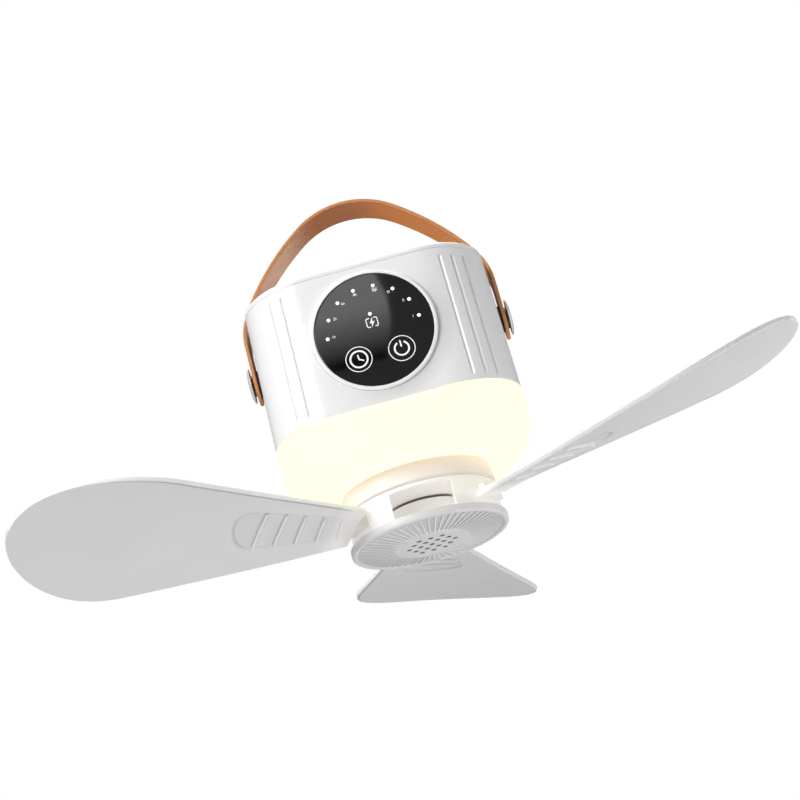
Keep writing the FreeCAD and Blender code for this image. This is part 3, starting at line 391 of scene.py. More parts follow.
def ramp(nt, fac, lo, hi, a=0.0, b=1.0):
    r = nt.nodes.new("ShaderNodeMapRange")
    r.inputs["From Min"].default_value = lo
    r.inputs["From Max"].default_value = hi
    r.inputs["To Min"].default_value = a
    r.inputs["To Max"].default_value = b
    nt.links.new(fac, r.inputs["Value"])
    return r.outputs["Result"]


def mix(nt, fac, c0, c1):
    m = nt.nodes.new("ShaderNodeMix")
    m.data_type = "RGBA"
    for sock, c in ((m.inputs[6], c0), (m.inputs[7], c1)):
        if isinstance(c, (tuple, list)):
            sock.default_value = (*c, 1)
        else:
            nt.links.new(c, sock)
    nt.links.new(fac, m.inputs[0])
    return m.outputs[2]


def bump(nt, b, height, strength, dist):
    bp = nt.nodes.new("ShaderNodeBump")
    bp.inputs["Strength"].default_value = strength
    bp.inputs["Distance"].default_value = dist
    nt.links.new(height, bp.inputs["Height"])
    nt.links.new(bp.outputs["Normal"], b.inputs["Normal"])
    return bp


def attr(nt, name):
    a = nt.nodes.new("ShaderNodeAttribute")
    a.attribute_name = name
    return a.outputs["Fac"]


def calc(nt, op, a, b):
    m = nt.nodes.new("ShaderNodeMath")
    m.operation = op
    for sock, q in ((m.inputs[0], a), (m.inputs[1], b)):
        if isinstance(q, (int, float)):
            sock.default_value = q
        else:
            nt.links.new(q, sock)
    return m.outputs[0]


def moulded(name, color, rough, spread=0.05, tint=0.985, spec=0.5, coat=0.0, coat_rough=0.06, grain=1800, gs=0.03):
    """Moulded plastic: faint flow tint, and unless it is polished (no spread, no grain) uneven gloss and a very fine skin."""
    m, nt, b = material(name)
    v = coords(nt)
    nt.links.new(mix(nt, ramp(nt, noise(nt, v, 34, 3), 0.35, 0.65), tuple(c * tint for c in color), color), b.inputs["Base Color"])
    b.inputs["Roughness"].default_value = rough
    if spread:
        nt.links.new(ramp(nt, noise(nt, v, 90, 4, 0.6), 0.3, 0.7, rough - spread, rough + spread), b.inputs["Roughness"])
    if gs:
        bump(nt, b, noise(nt, v, grain, 2), gs, 0.00006)
    b.inputs["Specular IOR Level"].default_value = spec
    if coat:
        b.inputs["Coat Weight"].default_value = coat
        b.inputs["Coat Roughness"].default_value = coat_rough
    return m


def metal(name, color, rough, stretch=(1, 1, 1), scale=900, tint=0.8):
    m, nt, b = material(name)
    v = coords(nt)
    n = noise(nt, v, scale, 4, 0.6, stretch)
    nt.links.new(mix(nt, n, tuple(c * tint for c in color), color), b.inputs["Base Color"])
    nt.links.new(ramp(nt, n, 0.25, 0.75, rough * 0.75, rough * 1.3), b.inputs["Roughness"])
    bump(nt, b, n, 0.08, 0.00004)
    b.inputs["Metallic"].default_value = 1.0
    return m


M = {}
M["shell"] = moulded("gloss_white", (0.90, 0.893, 0.902), 0.27, 0.0, tint=0.992, coat=0.25, coat_rough=0.22, gs=0.0)
M["lid"] = moulded("gloss_white_lid", (0.92, 0.913, 0.92), 0.30, 0.0, tint=0.992, coat=0.2, coat_rough=0.25, gs=0.0)
# painted shadow: the shell's colour is darkened below and to the right of the panel ring, where the ring's shadow falls
nt = M["shell"].node_tree
b = [n for n in nt.nodes if n.type == "BSDF_PRINCIPLED"][0]
src = b.inputs["Base Color"].links[0].from_socket
sp = nt.nodes.new("ShaderNodeSeparateXYZ")
nt.links.new(coords(nt), sp.inputs[0])
px, pz = sp.outputs["X"], calc(nt, "SUBTRACT", sp.outputs["Z"], (PANEL - HD) / 1000)
rad = calc(nt, "SQRT", calc(nt, "ADD", calc(nt, "MULTIPLY", px, px), calc(nt, "MULTIPLY", pz, pz)), 0.0)
side = calc(nt, "DIVIDE", calc(nt, "SUBTRACT", calc(nt, "MULTIPLY", px, 0.80), calc(nt, "MULTIPLY", pz, 0.60)), rad)
# painted shadow mask: strongest next to the ring on its lower right side, front face only
painted_shadow = calc(nt, "MULTIPLY", ramp(nt, rad, 0.0265, 0.0350, 1.0, 0.0), ramp(nt, side, -0.05, 0.75, 0.0, 1.0))
painted_shadow = calc(nt, "MULTIPLY", painted_shadow, ramp(nt, sp.outputs["Y"], -0.0515, -0.0520, 0.0, 1.0))
nt.links.new(mix(nt, painted_shadow, src, (0.70, 0.693, 0.703)), b.inputs["Base Color"])
M["bezel"] = moulded("gloss_white_ring", (0.93, 0.93, 0.93), 0.12, 0.02, coat=0.5)
M["hub"] = moulded("satin_white_hub_painted_glow", (0.78, 0.765, 0.745), 0.38, 0.05, grain=2600, gs=0.05)
hb = [n for n in M["hub"].node_tree.nodes if n.type == "BSDF_PRINCIPLED"][0]
# painted glow: a faint warm emission that brightens the hub, which is no lamp
hb.inputs["Emission Color"].default_value = (1.0, 0.965, 0.93, 1)
hb.inputs["Emission Strength"].default_value = 0.24
M["cap"] = moulded("satin_white_cap", (0.79, 0.783, 0.783), 0.40, 0.05, grain=2600, gs=0.05)
# painted highlight on the rib crests and painted shade on the floor between the ribs: lighter and darker copies of the
# cap plastic
M["crest"] = moulded("satin_white_cap_crest", (0.95, 0.945, 0.945), 0.36, 0.05, grain=2600, gs=0.05)
M["capdeep"] = moulded("satin_white_cap_floor_painted_shade", (0.66, 0.652, 0.652), 0.50, 0.05, grain=2600, gs=0.05)
# painted shade: a darker copy of the hub plastic for the groove at the drum's top
M["gap"] = moulded("hub_gap_painted_shade", (0.58, 0.55, 0.53), 0.55, 0.05, grain=2600, gs=0.05)
# painted shade: a near-black copy of the cap plastic for the walls of the vent holes
M["vent"] = moulded("vent_wall_painted_shade", (0.30, 0.29, 0.285), 0.60, 0.05, grain=2600, gs=0.05)

# blades: satin white; the mesh carries how much painted shade a spot gets in creases, how much painted highlight its
# edge gets, and how much painted glow it gets close to the hub
m, nt, b = material("satin_white_blade")
v = coords(nt)
col = mix(nt, ramp(nt, noise(nt, v, 34, 3), 0.35, 0.65), (0.785, 0.783, 0.785), (0.80, 0.798, 0.80))
# painted shade in creases, in the grip recess and beside the ribs; painted highlight on edges and rib crests
col = mix(nt, attr(nt, "painted_crease_shade"), col, (0.30, 0.298, 0.30))
col = mix(nt, attr(nt, "pale"), col, (0.98, 0.98, 0.985))
glow_weight = attr(nt, "painted_hub_glow")
col = mix(nt, glow_weight, col, (0.90, 0.88, 0.86))
nt.links.new(col, b.inputs["Base Color"])
nt.links.new(ramp(nt, noise(nt, v, 90, 4, 0.6), 0.3, 0.7, 0.37, 0.47), b.inputs["Roughness"])
bump(nt, b, noise(nt, v, 2600, 2), 0.06, 0.00006)
# painted glow close to the hub, though the blade is no lamp
nt.links.new(mix(nt, glow_weight, (0.0, 0.0, 0.0), (0.12, 0.11, 0.10)), b.inputs["Emission Color"])
b.inputs["Emission Strength"].default_value = 1.0
M["blade"] = m
M["chassis"] = moulded("matt_white_frame", (0.80, 0.80, 0.79), 0.55, 0.08)
M["black"] = moulded("matt_black", (0.03, 0.03, 0.032), 0.6, 0.08, tint=0.7)
M["rubber"] = moulded("soft_rubber", (0.72, 0.72, 0.73), 0.68, 0.08, grain=1500, gs=0.12)
M["pad"] = moulded("pad_rubber", (0.12, 0.12, 0.12), 0.7, 0.08, tint=0.8)
M["wrap"] = moulded("cell_film", (0.08, 0.16, 0.42), 0.22, 0.06, tint=0.85, coat=0.4)
M["phosphor"] = moulded("phosphor", (0.92, 0.78, 0.28), 0.35, 0.05, tint=0.9)
M["lampclear"] = moulded("lamp_cap", (0.9, 0.9, 0.85), 0.15, 0.04)
M["steel"] = metal("plain_steel", (0.62, 0.62, 0.64), 0.32)
M["socket"] = metal("stamped_steel", (0.70, 0.70, 0.72), 0.28, scale=400)
M["washer"] = metal("dark_washer", (0.10, 0.095, 0.09), 0.42)
M["alu"] = metal("turned_alloy", (0.66, 0.66, 0.68), 0.3, (1, 1, 14), 260)
M["core"] = metal("laminated_core", (0.30, 0.30, 0.31), 0.4, (1, 1, 30), 120)
M["copper"] = metal("enamelled_wire", (0.72, 0.33, 0.14), 0.3, (1, 1, 22), 130)
M["magnet"] = metal("nickel", (0.5, 0.49, 0.47), 0.25)

# printed boards: green or white mask over a faint copper pattern
for key, c0, c1 in (("pcb", (0.012, 0.10, 0.045), (0.02, 0.17, 0.07)), ("pcbwhite", (0.74, 0.74, 0.73), (0.86, 0.86, 0.85))):
    m, nt, b = material("board_" + key)
    v = coords(nt)
    vo = nt.nodes.new("ShaderNodeTexVoronoi")
    vo.distance = "MANHATTAN"
    vo.inputs["Scale"].default_value = 420
    nt.links.new(v, vo.inputs["Vector"])
    nt.links.new(mix(nt, ramp(nt, vo.outputs["Distance"], 0.2, 0.3), c1, c0), b.inputs["Base Color"])
    nt.links.new(ramp(nt, noise(nt, v, 300, 2), 0.3, 0.7, 0.3, 0.45), b.inputs["Roughness"])
    M[key] = m

# lit milky diffuser
m, nt, b = material("milk_diffuser")
v = coords(nt)
nt.links.new(mix(nt, ramp(nt, noise(nt, v, 26, 3), 0.35, 0.65), (0.34, 0.34, 0.12), (0.36, 0.36, 0.13)), b.inputs["Base Color"])
nt.links.new(ramp(nt, noise(nt, v, 80, 4), 0.3, 0.7, 0.30, 0.40), b.inputs["Roughness"])
bump(nt, b, noise(nt, v, 2600, 2), 0.03, 0.00005)
nt.links.new(mix(nt, ramp(nt, noise(nt, v, 18, 2), 0.3, 0.7), (1.08, 1.06, 0.705), (1.10, 1.08, 0.72)), b.inputs["Emission Color"])
b.inputs["Emission Strength"].default_value = 1.0
b.inputs["Subsurface Weight"].default_value = 0.0
M["milk"] = m

# collar: white plastic with a painted glow all over, pinker towards its upper edge next to the lamp
m, nt, b = material("collar_plastic")
v = coords(nt)
sep = nt.nodes.new("ShaderNodeSeparateXYZ")
nt.links.new(v, sep.inputs[0])
nt.links.new(mix(nt, ramp(nt, noise(nt, v, 34, 3), 0.35, 0.65), (0.74, 0.70, 0.69), (0.76, 0.72, 0.71)), b.inputs["Base Color"])
nt.links.new(ramp(nt, noise(nt, v, 90, 4), 0.3, 0.7, 0.36, 0.46), b.inputs["Roughness"])
bump(nt, b, noise(nt, v, 2400, 2), 0.04, 0.00005)
glow = ramp(nt, sep.outputs["Z"], (-29.8 - HD) / 1000, (-21.2 - HD) / 1000, 0.0, 1.0)
nt.links.new(mix(nt, glow, (0.15, 0.13, 0.115), (0.17, 0.075, 0.075)), b.inputs["Emission Color"])
b.inputs["Emission Strength"].default_value = 1.0
M["collar"] = m

# glossy black touch panel
m, nt, b = material("panel_gloss_black")
v = coords(nt)
nt.links.new(mix(nt, noise(nt, v, 60, 2), (0.002, 0.002, 0.0022), (0.004, 0.004, 0.0044)), b.inputs["Base Color"])
nt.links.new(ramp(nt, noise(nt, v, 200, 5, 0.7), 0.3, 0.8, 0.025, 0.05), b.inputs["Roughness"])
b.inputs["Specular IOR Level"].default_value = 0.5
M["lens"] = m

# white print and lit dots
m, nt, b = material("panel_print")
v = coords(nt)
nt.links.new(mix(nt, noise(nt, v, 1500, 2), (0.80, 0.80, 0.82), (0.92, 0.92, 0.94)), b.inputs["Base Color"])
b.inputs["Roughness"].default_value = 0.5
b.inputs["Emission Color"].default_value = (1, 1, 1, 1)
b.inputs["Emission Strength"].default_value = 0.22
M["print"] = m
m, nt, b = material("panel_dot_lit")
v = coords(nt)
nt.links.new(mix(nt, noise(nt, v, 900, 2), (0.85, 0.87, 0.9), (0.95, 0.96, 1.0)), b.inputs["Base Color"])
b.inputs["Roughness"].default_value = 0.3
b.inputs["Emission Color"].default_value = (1, 1, 1, 1)
b.inputs["Emission Strength"].default_value = 0.6
M["dot"] = m


def leather(name, c0, c1, c2, rough, grain, edge=False):
    m, nt, b = material(name)
    v = coords(nt)
    big = ramp(nt, noise(nt, v, 45, 4, 0.55), 0.3, 0.7)
    col = mix(nt, big, c0, c1)
    vo = nt.nodes.new("ShaderNodeTexVoronoi")
    vo.feature = "DISTANCE_TO_EDGE"
    vo.inputs["Scale"].default_value = grain
    nt.links.new(v, vo.inputs["Vector"])
    cell = ramp(nt, vo.outputs["Distance"], 0.0, 0.12)
    fine = noise(nt, v, grain * 2.2, 5, 0.65)
    pore = nt.nodes.new("ShaderNodeMath")
    pore.operation = "MULTIPLY"
    nt.links.new(cell, pore.inputs[0])
    nt.links.new(fine, pore.inputs[1])
    col = mix(nt, ramp(nt, pore.outputs[0], 0.05, 0.4, 0.55, 0.0), col, c2)
    if not edge:
        # an even golden tone over the outer face; on the underside a painted lighter orange on the right leg, where
        # light falls
        col = mix(nt, attr(nt, "gold_tone_and_painted_light"), col, (0.565, 0.197, 0.039))
        # painted sheen: pale pinkish colour on the upper left of the underside, faintly on the left of the outer face
        col = mix(nt, attr(nt, "painted_sheen"), col, (0.67, 0.415, 0.28))
        col = mix(nt, ramp(nt, attr(nt, "rim"), 0.0, 1.0, 0.0, 0.45), col, c2)
    nt.links.new(col, b.inputs["Base Color"])
    nt.links.new(ramp(nt, fine, 0.3, 0.7, rough - 0.06, rough + 0.08), b.inputs["Roughness"])
    bump(nt, b, pore.outputs[0], 0.22, 0.00012)
    b.inputs["Specular IOR Level"].default_value = 0.45
    return m


M["leather"] = leather("tan_leather", (0.36, 0.122, 0.031), (0.40, 0.14, 0.037), (0.265, 0.087, 0.022), 0.42, 1500)
M["edge"] = leather("tan_leather_edge", (0.56, 0.228, 0.073), (0.62, 0.262, 0.09), (0.42, 0.16, 0.05), 0.62, 2600, True)

# rivets: polished steel with fine turned rings round the X axis
m, nt, b = material("polished_rivet")
v = coords(nt)
sub = nt.nodes.new("ShaderNodeVectorMath")
sub.operation = "SUBTRACT"
sub.inputs[1].default_value = (0, 0, (PIVOT - HD) / 1000)
nt.links.new(v, sub.inputs[0])
mul = nt.nodes.new("ShaderNodeVectorMath")
mul.operation = "MULTIPLY"
mul.inputs[1].default_value = (0, 1, 1)
nt.links.new(sub.outputs[0], mul.inputs[0])
ln = nt.nodes.new("ShaderNodeVectorMath")
ln.operation = "LENGTH"
nt.links.new(mul.outputs[0], ln.inputs[0])
sn = nt.nodes.new("ShaderNodeMath")
sn.operation = "SINE"
k = nt.nodes.new("ShaderNodeMath")
k.operation = "MULTIPLY"
k.inputs[1].default_value = 26000
nt.links.new(ln.outputs["Value"], k.inputs[0])
nt.links.new(k.outputs[0], sn.inputs[0])
nt.links.new(mix(nt, noise(nt, v, 240, 4), (0.72, 0.712, 0.70), (0.80, 0.792, 0.78)), b.inputs["Base Color"])
nt.links.new(ramp(nt, noise(nt, v, 500, 3), 0.3, 0.7, 0.32, 0.42), b.inputs["Roughness"])
bump(nt, b, sn.outputs[0], 0.03, 0.00002)
b.inputs["Metallic"].default_value = 0.4
M["rivet"] = m

# the parts that keep their own mesh
KEEP = {
    "touch_board": "pcb", "indicator_leds": "lampclear", "touch_pads": "pad", "pivot_spacers": "black", "pivot_washers": "washer",
    "pivot_nuts": "steel", "chassis": "chassis", "chassis_screws": "steel", "collar_screws": "steel", "led_board": "pcbwhite",
    "light_leds": "phosphor", "battery_cells": "wrap", "battery_holder": "black", "main_board": "pcb", "usb_socket": "socket",
    "motor_base": "alu", "motor_stator": "core", "motor_windings": "copper", "motor_bearings": "steel", "motor_screws": "steel",
    "motor_bell": "alu", "motor_magnets": "magnet", "motor_shaft": "steel", "shaft_nut": "steel",
}
for n, k in KEEP.items():
    ob = NODES[n]
    ob.data.materials.clear()
    ob.data.materials.append(M[k])

# ------------------------------------------------------------------ main shell
FOOT, HEAD, RF, RH, TOP = 54.0, 53.0, 30.0, 29.2, 62.15
GROOVES = (22.0, 33.5, 45.0)


def groove_angles(q):
    sx, sy = ((1, 1), (-1, 1), (-1, -1), (1, -1))[q]
    return [math.atan2(sy * math.cos(math.radians(p)), sx * math.sin(math.radians(p))) for p in GROOVES]


U = []
for q in range(4):
    a0 = q * math.pi / 2
    ga = sorted(((g - a0) % (2 * math.pi)) for g in groove_angles(q))
    w = set(np.round(np.linspace(0, math.pi / 2, 41), 5))
    for g in ga:
        w = {x for x in w if abs(x - g) > 1.45 / 30}
        w |= {round(g + s / 30, 5) for s in np.arange(-1.3, 1.301, 0.13)}
    w = sorted(x for x in w if -1e-6 <= x <= math.pi / 2 + 1e-6)
    for x in w:
        cut = 0.0
        for g in ga:
            s = (x - g) * 30
            if abs(s) < 1.1:
                cut = max(cut, math.cos(math.pi * s / 2.2) ** 2)
        U.append(("a", q, x, cut))
    for i in range(1, 10):
        U.append(("l", q, i / 10.0, 0.0))


def shell_ring(z, inset=0.0, deep=0.0):
    f = z / TOP
    a, r = FOOT + (HEAD - FOOT) * f, RF + (RH - RF) * f
    k = a - r
    P = []
    for kind, q, x, cut in U:
        sx, sy = ((1, 1), (-1, 1), (-1, -1), (1, -1))[q]
        if kind == "a":
            w = q * math.pi / 2 + x
            rr = r - inset - cut * deep
            P.append((sx * k + rr * math.cos(w), sy * k + rr * math.sin(w), z))
        else:
            a2 = a - inset
            p, p2 = (((k, a2), (-k, a2)), ((-a2, k), (-a2, -k)), ((-k, -a2), (k, -a2)), ((a2, -k), (a2, k)))[q]
            P.append((p[0] + (p2[0] - p[0]) * x, p[1] + (p2[1] - p[1]) * x, z))
    return np.array(P)


def groove_depth(z):
    return 0.78 * float(smooth01((z - 2.2) / 1.6)) * float(smooth01((59.3 - z) / 1.6))


zs = [0.0, 0.06, 0.2, 0.45, 0.8, 1.5] + list(np.arange(2.2, 4.21, 0.25)) + [5.5, 9, 16, 24, 32, 40, 48, 54, 56.5] + \
    list(np.arange(57.4, 59.41, 0.25)) + [60.0, 61.0, 61.5, 61.8, 62.0, 62.1, 62.15]
rings = []
for z in zs:
    e = 0.0
    for h, rad in ((z, 0.35), (TOP - z, 0.14)):
        if h < rad:
            e = rad - math.sqrt(max(rad * rad - (rad - h) ** 2, 0))
    rings.append(shell_ring(z, e, groove_depth(z)))
for z in (62.15, 61.5, 40, 20, 0.6, 0.0):
    rings.append(shell_ring(z, 2.2))
shell = raw("shell_body", *tube(rings))


def box_part(x0, x1, y0, y1, z0, z1):
    V = [(x, y, z) for z in (z0, z1) for x, y in ((x0, y0), (x1, y0), (x1, y1), (x0, y1))]
    F = [(3, 2, 1, 0), (4, 5, 6, 7), (0, 1, 5, 4), (1, 2, 6, 5), (2, 3, 7, 6), (3, 0, 4, 7)]
    return np.array(V, float), F


def rounded_rect(w, h, r, n=8):
    P = []
    for q, (cx, cy) in enumerate(((w / 2 - r, h / 2 - r), (-w / 2 + r, h / 2 - r), (-w / 2 + r, -h / 2 + r), (w / 2 - r, -h / 2 + r))):
        for i in range(n + 1):
            t = q * math.pi / 2 + math.pi / 2 * i / n
            P.append((cx + r * math.cos(t), cy + r * math.sin(t)))
    return P


def prism_y(loop, y0, y1, up):
    A = np.array([(x, y0, z + up) for x, z in loop])
    B = np.array([(x, y1, z + up) for x, z in loop])
    return tube([A, B], loop=False, cap0=True, cap1=True)


carve(shell, [lathe([(0, -63), (27.05, -63), (27.05, -52.9), (24.4, -52.9), (24.4, -46), (0, -46)], "Y", PANEL, 160, False)])
carve(shell, [lathe([(0, 42), (3.08, 42), (3.08, 62), (0, 62)], "X", PIVOT, 48, False),
              lathe([(0, -62), (3.08, -62), (3.08, -42), (0, -42)], "X", PIVOT, 48, False)])
carve(shell, [prism_y(rounded_rect(15.4, 8.6, 2.3), 52.7, 58, 17.0)])
carve(shell, [prism_y(rounded_rect(10.4, 4.6, 1.0), 48, 58, 17.0)])
publish(shell, "housing", [M["shell"]], ["main_shell"], 34)

# screw columns and pivot bosses inside the shell
parts = []
for sx, sy in ((1, 1), (-1, 1), (-1, -1), (1, -1)):
    V, F = lathe(support(fillet([(1.3, 5.2), (3.6, 5.2), (3.6, 56.0), (1.3, 56.0)], 0.3)), "Z", 0, 40)
    parts.append((V + np.array([sx * 41.3, sy * 41.3, 0]), F))
for s in (1, -1):
    parts.append(lathe([(r, s * h) for r, h in support(fillet([(3.08, 49.0), (7.0, 49.0), (7.0, 51.9), (3.08, 51.9)], 0.25))], "X", PIVOT, 48))
publish(raw("shell_posts", *merge(parts)), "housing", [M["shell"]])

# ------------------------------------------------------------------ top cover
LB, LT, LR = 62.27, 64.9, 1.4
prof = [(14, LB), (4.05, LB), (4.05, LB - 2.9), (2.45, LB - 2.9), (2.45, LB), (0.16, LB), (0.05, LB + 0.04), (0, LB + 0.16), (0, LT - LR)]
prof += [(LR - LR * math.cos(t), LT - LR + LR * math.sin(t)) for t in np.linspace(0.15, math.pi / 2, 10)]
prof += [(LR + 0.15, LT), (4, LT), (10, LT), (18, LT), (24, LT)]
rings = [rsq(HEAD, RH, z, i, 8, 24) for i, z in prof]
V, F = tube(rings, loop=False, cap0=True, cap1=True)
feet = [lathe(support(fillet([(1.2, 56.0), (3.2, 56.0), (3.2, LB + 0.3), (1.2, LB + 0.3)], 0.2)), "Z", 0, 36) for _ in range(4)]
parts = [(V, F)]
for (sx, sy), (v_, f_) in zip(((1, 1), (-1, 1), (-1, -1), (1, -1)), feet):
    parts.append((v_ + np.array([sx * 40.1, sy * 40.1, 0]), f_))
publish(raw("lid", *merge(parts)), "housing", [M["lid"]], ["top_cover"])

# ------------------------------------------------------------------ panel
bz = fillet([(26.95, -52.95), (26.95, -55.0), (25.35, -55.0), (25.35, -53.0), (23.4, -53.0), (23.4, -49.0), (24.3, -49.0), (24.3, -52.95)],
            [0.1, 0.75, 0.18, 0.1, 0.15, 0.2, 0.1, 0.05], 7)
publish(raw("bezel", *lathe(support(bz, 0.08), "Y", PANEL, 192)), "housing", [M["bezel"]], ["panel_bezel"])
lz = [(0, -53.05), (24.9, -53.05), (25.15, -53.1), (25.25, -53.25), (25.25, -54.6)]
lz += [(24.85 + 0.4 * math.cos(t), -54.65 - 0.4 * math.sin(t)) for t in np.linspace(0.1, math.pi / 2, 7)]
lz += [(24.7, -55.05), (24.0, -55.05), (18, -55.05), (9, -55.05), (0, -55.05)]
publish(raw("lens", *lathe(lz, "Y", PANEL, 192, False)), "housing", [M["lens"]], ["panel_lens"])


def ribbon(pts, w, y=-55.05, t=0.03, closed=False, cap=0):
    """A flat stroke of width w along points of the panel's face, closed into a thin solid."""
    P = np.asarray(pts, float)
    n = len(P)
    if closed:
        e0, e1 = P - np.roll(P, 1, 0), np.roll(P, -1, 0) - P
    else:
        e = np.diff(P, axis=0)
        e0 = np.vstack([e[:1], e])
        e1 = np.vstack([e, e[-1:]])
    e0 /= np.linalg.norm(e0, axis=1)[:, None]
    e1 /= np.linalg.norm(e1, axis=1)[:, None]
    n0 = np.column_stack([-e0[:, 1], e0[:, 0]])
    n1 = np.column_stack([-e1[:, 1], e1[:, 0]])
    m = n0 + n1
    m /= np.linalg.norm(m, axis=1)[:, None]
    k = (w / 2) / np.maximum(0.4, (m * n0).sum(1))
    A, B = P + m * k[:, None], P - m * k[:, None]
    L = lambda Q, yy: np.column_stack([Q[:, 0], np.full(n, yy), Q[:, 1] + PANEL])
    rr = [L(A, y), L(A, y - t), L(B, y - t), L(B, y)]
    V = np.vstack(rr)
    F = []
    for i in range(4):
        j = (i + 1) % 4
        for q in range(n if closed else n - 1):
            s = (q + 1) % n
            F.append((i * n + q, i * n + s, j * n + s, j * n + q))
    if not closed:
        F.append((0, n, 2 * n, 3 * n))
        F.append((n - 1, 4 * n - 1, 3 * n - 1, 2 * n - 1))
    return V, F


def ring_pts(cx, cz, r, a0=0, a1=360, n=56):
    t = np.radians(np.linspace(a0, a1, n + 1))
    if abs(a1 - a0) >= 360:
        t = t[:-1]
    return np.column_stack([cx + r * np.cos(t), cz + r * np.sin(t)])


def disc(cx, cz, r, y=-55.05, t=0.05):
    V, F = lathe([(0, y), (r, y), (r, y - t * 0.6), (r * 0.85, y - t), (0, y - t)], "Y", PANEL + cz, 28, False)
    return V + np.array([cx, 0, 0]), F


def label(s, size, x, z, spin=0.0):
    cu = bpy.data.curves.new("label", "FONT")
    cu.body, cu.size, cu.align_x, cu.align_y, cu.extrude, cu.offset = s, size, "CENTER", "CENTER", 0.015, 0.0
    cu.resolution_u = 3
    o = bpy.data.objects.new("label", cu)
    SC.collection.objects.link(o)
    dg = bpy.context.evaluated_depsgraph_get()
    me = bpy.data.meshes.new_from_object(o.evaluated_get(dg))
    c, sn_ = math.cos(spin), math.sin(spin)
    V = np.array([(x + p.co.x * c - p.co.y * sn_, -55.05 - 0.015 - p.co.z, z + PANEL + p.co.x * sn_ + p.co.y * c) for p in me.vertices])
    F = [tuple(p.vertices) for p in me.polygons]
    bpy.data.objects.remove(o)
    return V, F


DOTS = [(-19.79, 0.86), (-17.5, 9.0), (-12.0, 15.46), (-4.38, 19.07), (4.24, 19.05), (11.95, 15.43), (17.5, 8.87), (19.66, 0.75)]
prn = []
PLACE = (("1h", 2.66, 0.18), ("2h", 2.84, -0.14), ("4h", 2.17, -0.95), ("8h", 0.39, -1.95), (None, 0.27, -2.0),
         ("III", -2.07, -0.97), ("II", -2.45, 0.12), ("I", -2.45, 0.2))
for (x, z), (s, du, dz) in zip(DOTS, PLACE):
    if s:
        prn.append(label(s, 1.72, x + du, z + dz))
    else:
        for q in (-0.45, 0.35):
            w = np.array([(x + du - 1.1 + 0.22 * i, z + dz + q + 0.22 * math.sin(i * 0.9)) for i in range(11)])
            prn.append(ribbon(w, 0.3))
# battery outline with a bolt
BK = 0.86
for s in (1, -1):
    prn.append(ribbon([(BK * s * x, 3.1 + BK * z) for x, z in ((0.95, 2.3), (2.2, 2.3), (2.75, 1.75), (2.75, -1.75), (2.2, -2.3), (1.15, -2.3))], 0.4))
bolt = [(0.55, 2.75), (-1.25, -0.35), (-0.15, -0.25), (-0.75, -2.75), (1.3, 0.45), (0.2, 0.35)]
A = np.array([(BK * x, -55.05, BK * z + 3.1 + PANEL) for x, z in bolt])
prn.append(tube([A, A + np.array([0, -0.03, 0])], loop=False, cap0=True, cap1=True))
# timer key and power key
prn.append(ribbon(ring_pts(-9.28, -11.4, 5.5, n=72), 0.36, closed=True))
prn.append(ribbon(ring_pts(-9.28, -11.4, 3.62, n=64), 0.74, closed=True))
prn.append(ribbon([(-9.43, -9.4), (-9.2, -11.55), (-7.25, -12.5)], 0.56))
prn.append(ribbon(ring_pts(9.17, -11.57, 5.55, n=72), 0.36, closed=True))
prn.append(ribbon(ring_pts(9.17, -11.57, 3.02, 117, 423, n=60), 0.74))
prn.append(ribbon([(9.12, -7.95), (9.17, -10.8)], 0.66))
publish(raw("panel_marks", *merge(prn)), "housing", [M["print"]], angle=20)
publish(raw("panel_dots", *merge([disc(x, z, 0.78) for x, z in DOTS + [(0.0, 7.0)]])), "housing", [M["dot"]])

# ------------------------------------------------------------------ diffuser
OUT = [(-0.15, 54.0, 30.2), (-2.0, 54.9, 36.0), (-4.0, 55.2, 41.0), (-9.0, 54.0, 45.0), (-14.0, 51.5, 46.2), (-18.0, 48.0, 45.6),
       (-20.3, 44.0, 42.9), (-21.2, 40.0, 39.3)]
INN = [(-2.2, 52.4, 33.4), (-4.0, 52.9, 38.6), (-9.0, 51.8, 43.0), (-13.4, 49.5, 44.2), (-16.8, 46.2, 43.6), (-18.6, 42.8, 41.5), (-19.2, 39.0, 38.2)]
rings = [rsq(51.55, 28, 1.0, 0, 8, 24), rsq(51.55, 28, -0.15, 0, 8, 24), rsq(53.7, 29.9, -0.15, 0, 8, 24)]
so = spline(OUT, 6, False)
so[0] = (-0.3, 54.0, 30.2)
rings += [rsq(a, min(r, a - 0.3), z, 0, 8, 24) for z, a, r in so]
last = rings[-1]


def to_circle(ring, rad, z, f):
    c = ring[:, :2] / np.linalg.norm(ring[:, :2], axis=1)[:, None] * rad
    P = ring[:, :2] * (1 - f) + c * f
    return np.column_stack([P, np.full(len(P), z)])


rings += [to_circle(last, 24.4, -21.2, f) for f in (0.08, 0.3, 0.6, 1.0)]
inner = rsq(39.0, 38.2, -19.2, 0, 8, 24)
rings += [to_circle(inner, 24.4, -19.2, f) for f in (1.0, 0.6, 0.3)]
rings += [rsq(a, min(r, a - 0.3), z, 0, 8, 24) for z, a, r in spline(INN, 4, False)[::-1]]
rings += [rsq(49.9, 26, -2.2, 0, 8, 24), rsq(49.9, 26, 1.0, 0, 8, 24)]
publish(raw("diffuser_bowl", *tube(rings)), "housing", [M["milk"]], ["diffuser"], 50)

# ------------------------------------------------------------------ collar
cp = fillet([(7.0, -29.8), (33.7, -29.8), (33.1, -21.25), (24.1, -21.25), (24.1, 1.2), (30.5, 1.2), (30.5, 3.15), (22.1, 3.15), (22.1, -27.8), (7.0, -27.8)],
            [0.2, 0.6, 0.25, 0, 0, 0.2, 0.2, 0.2, 0, 0.2], 6)
publish(raw("motor_collar", *lathe(support(cp), "Z", 0, 192)), "housing", [M["collar"]], ["collar"])


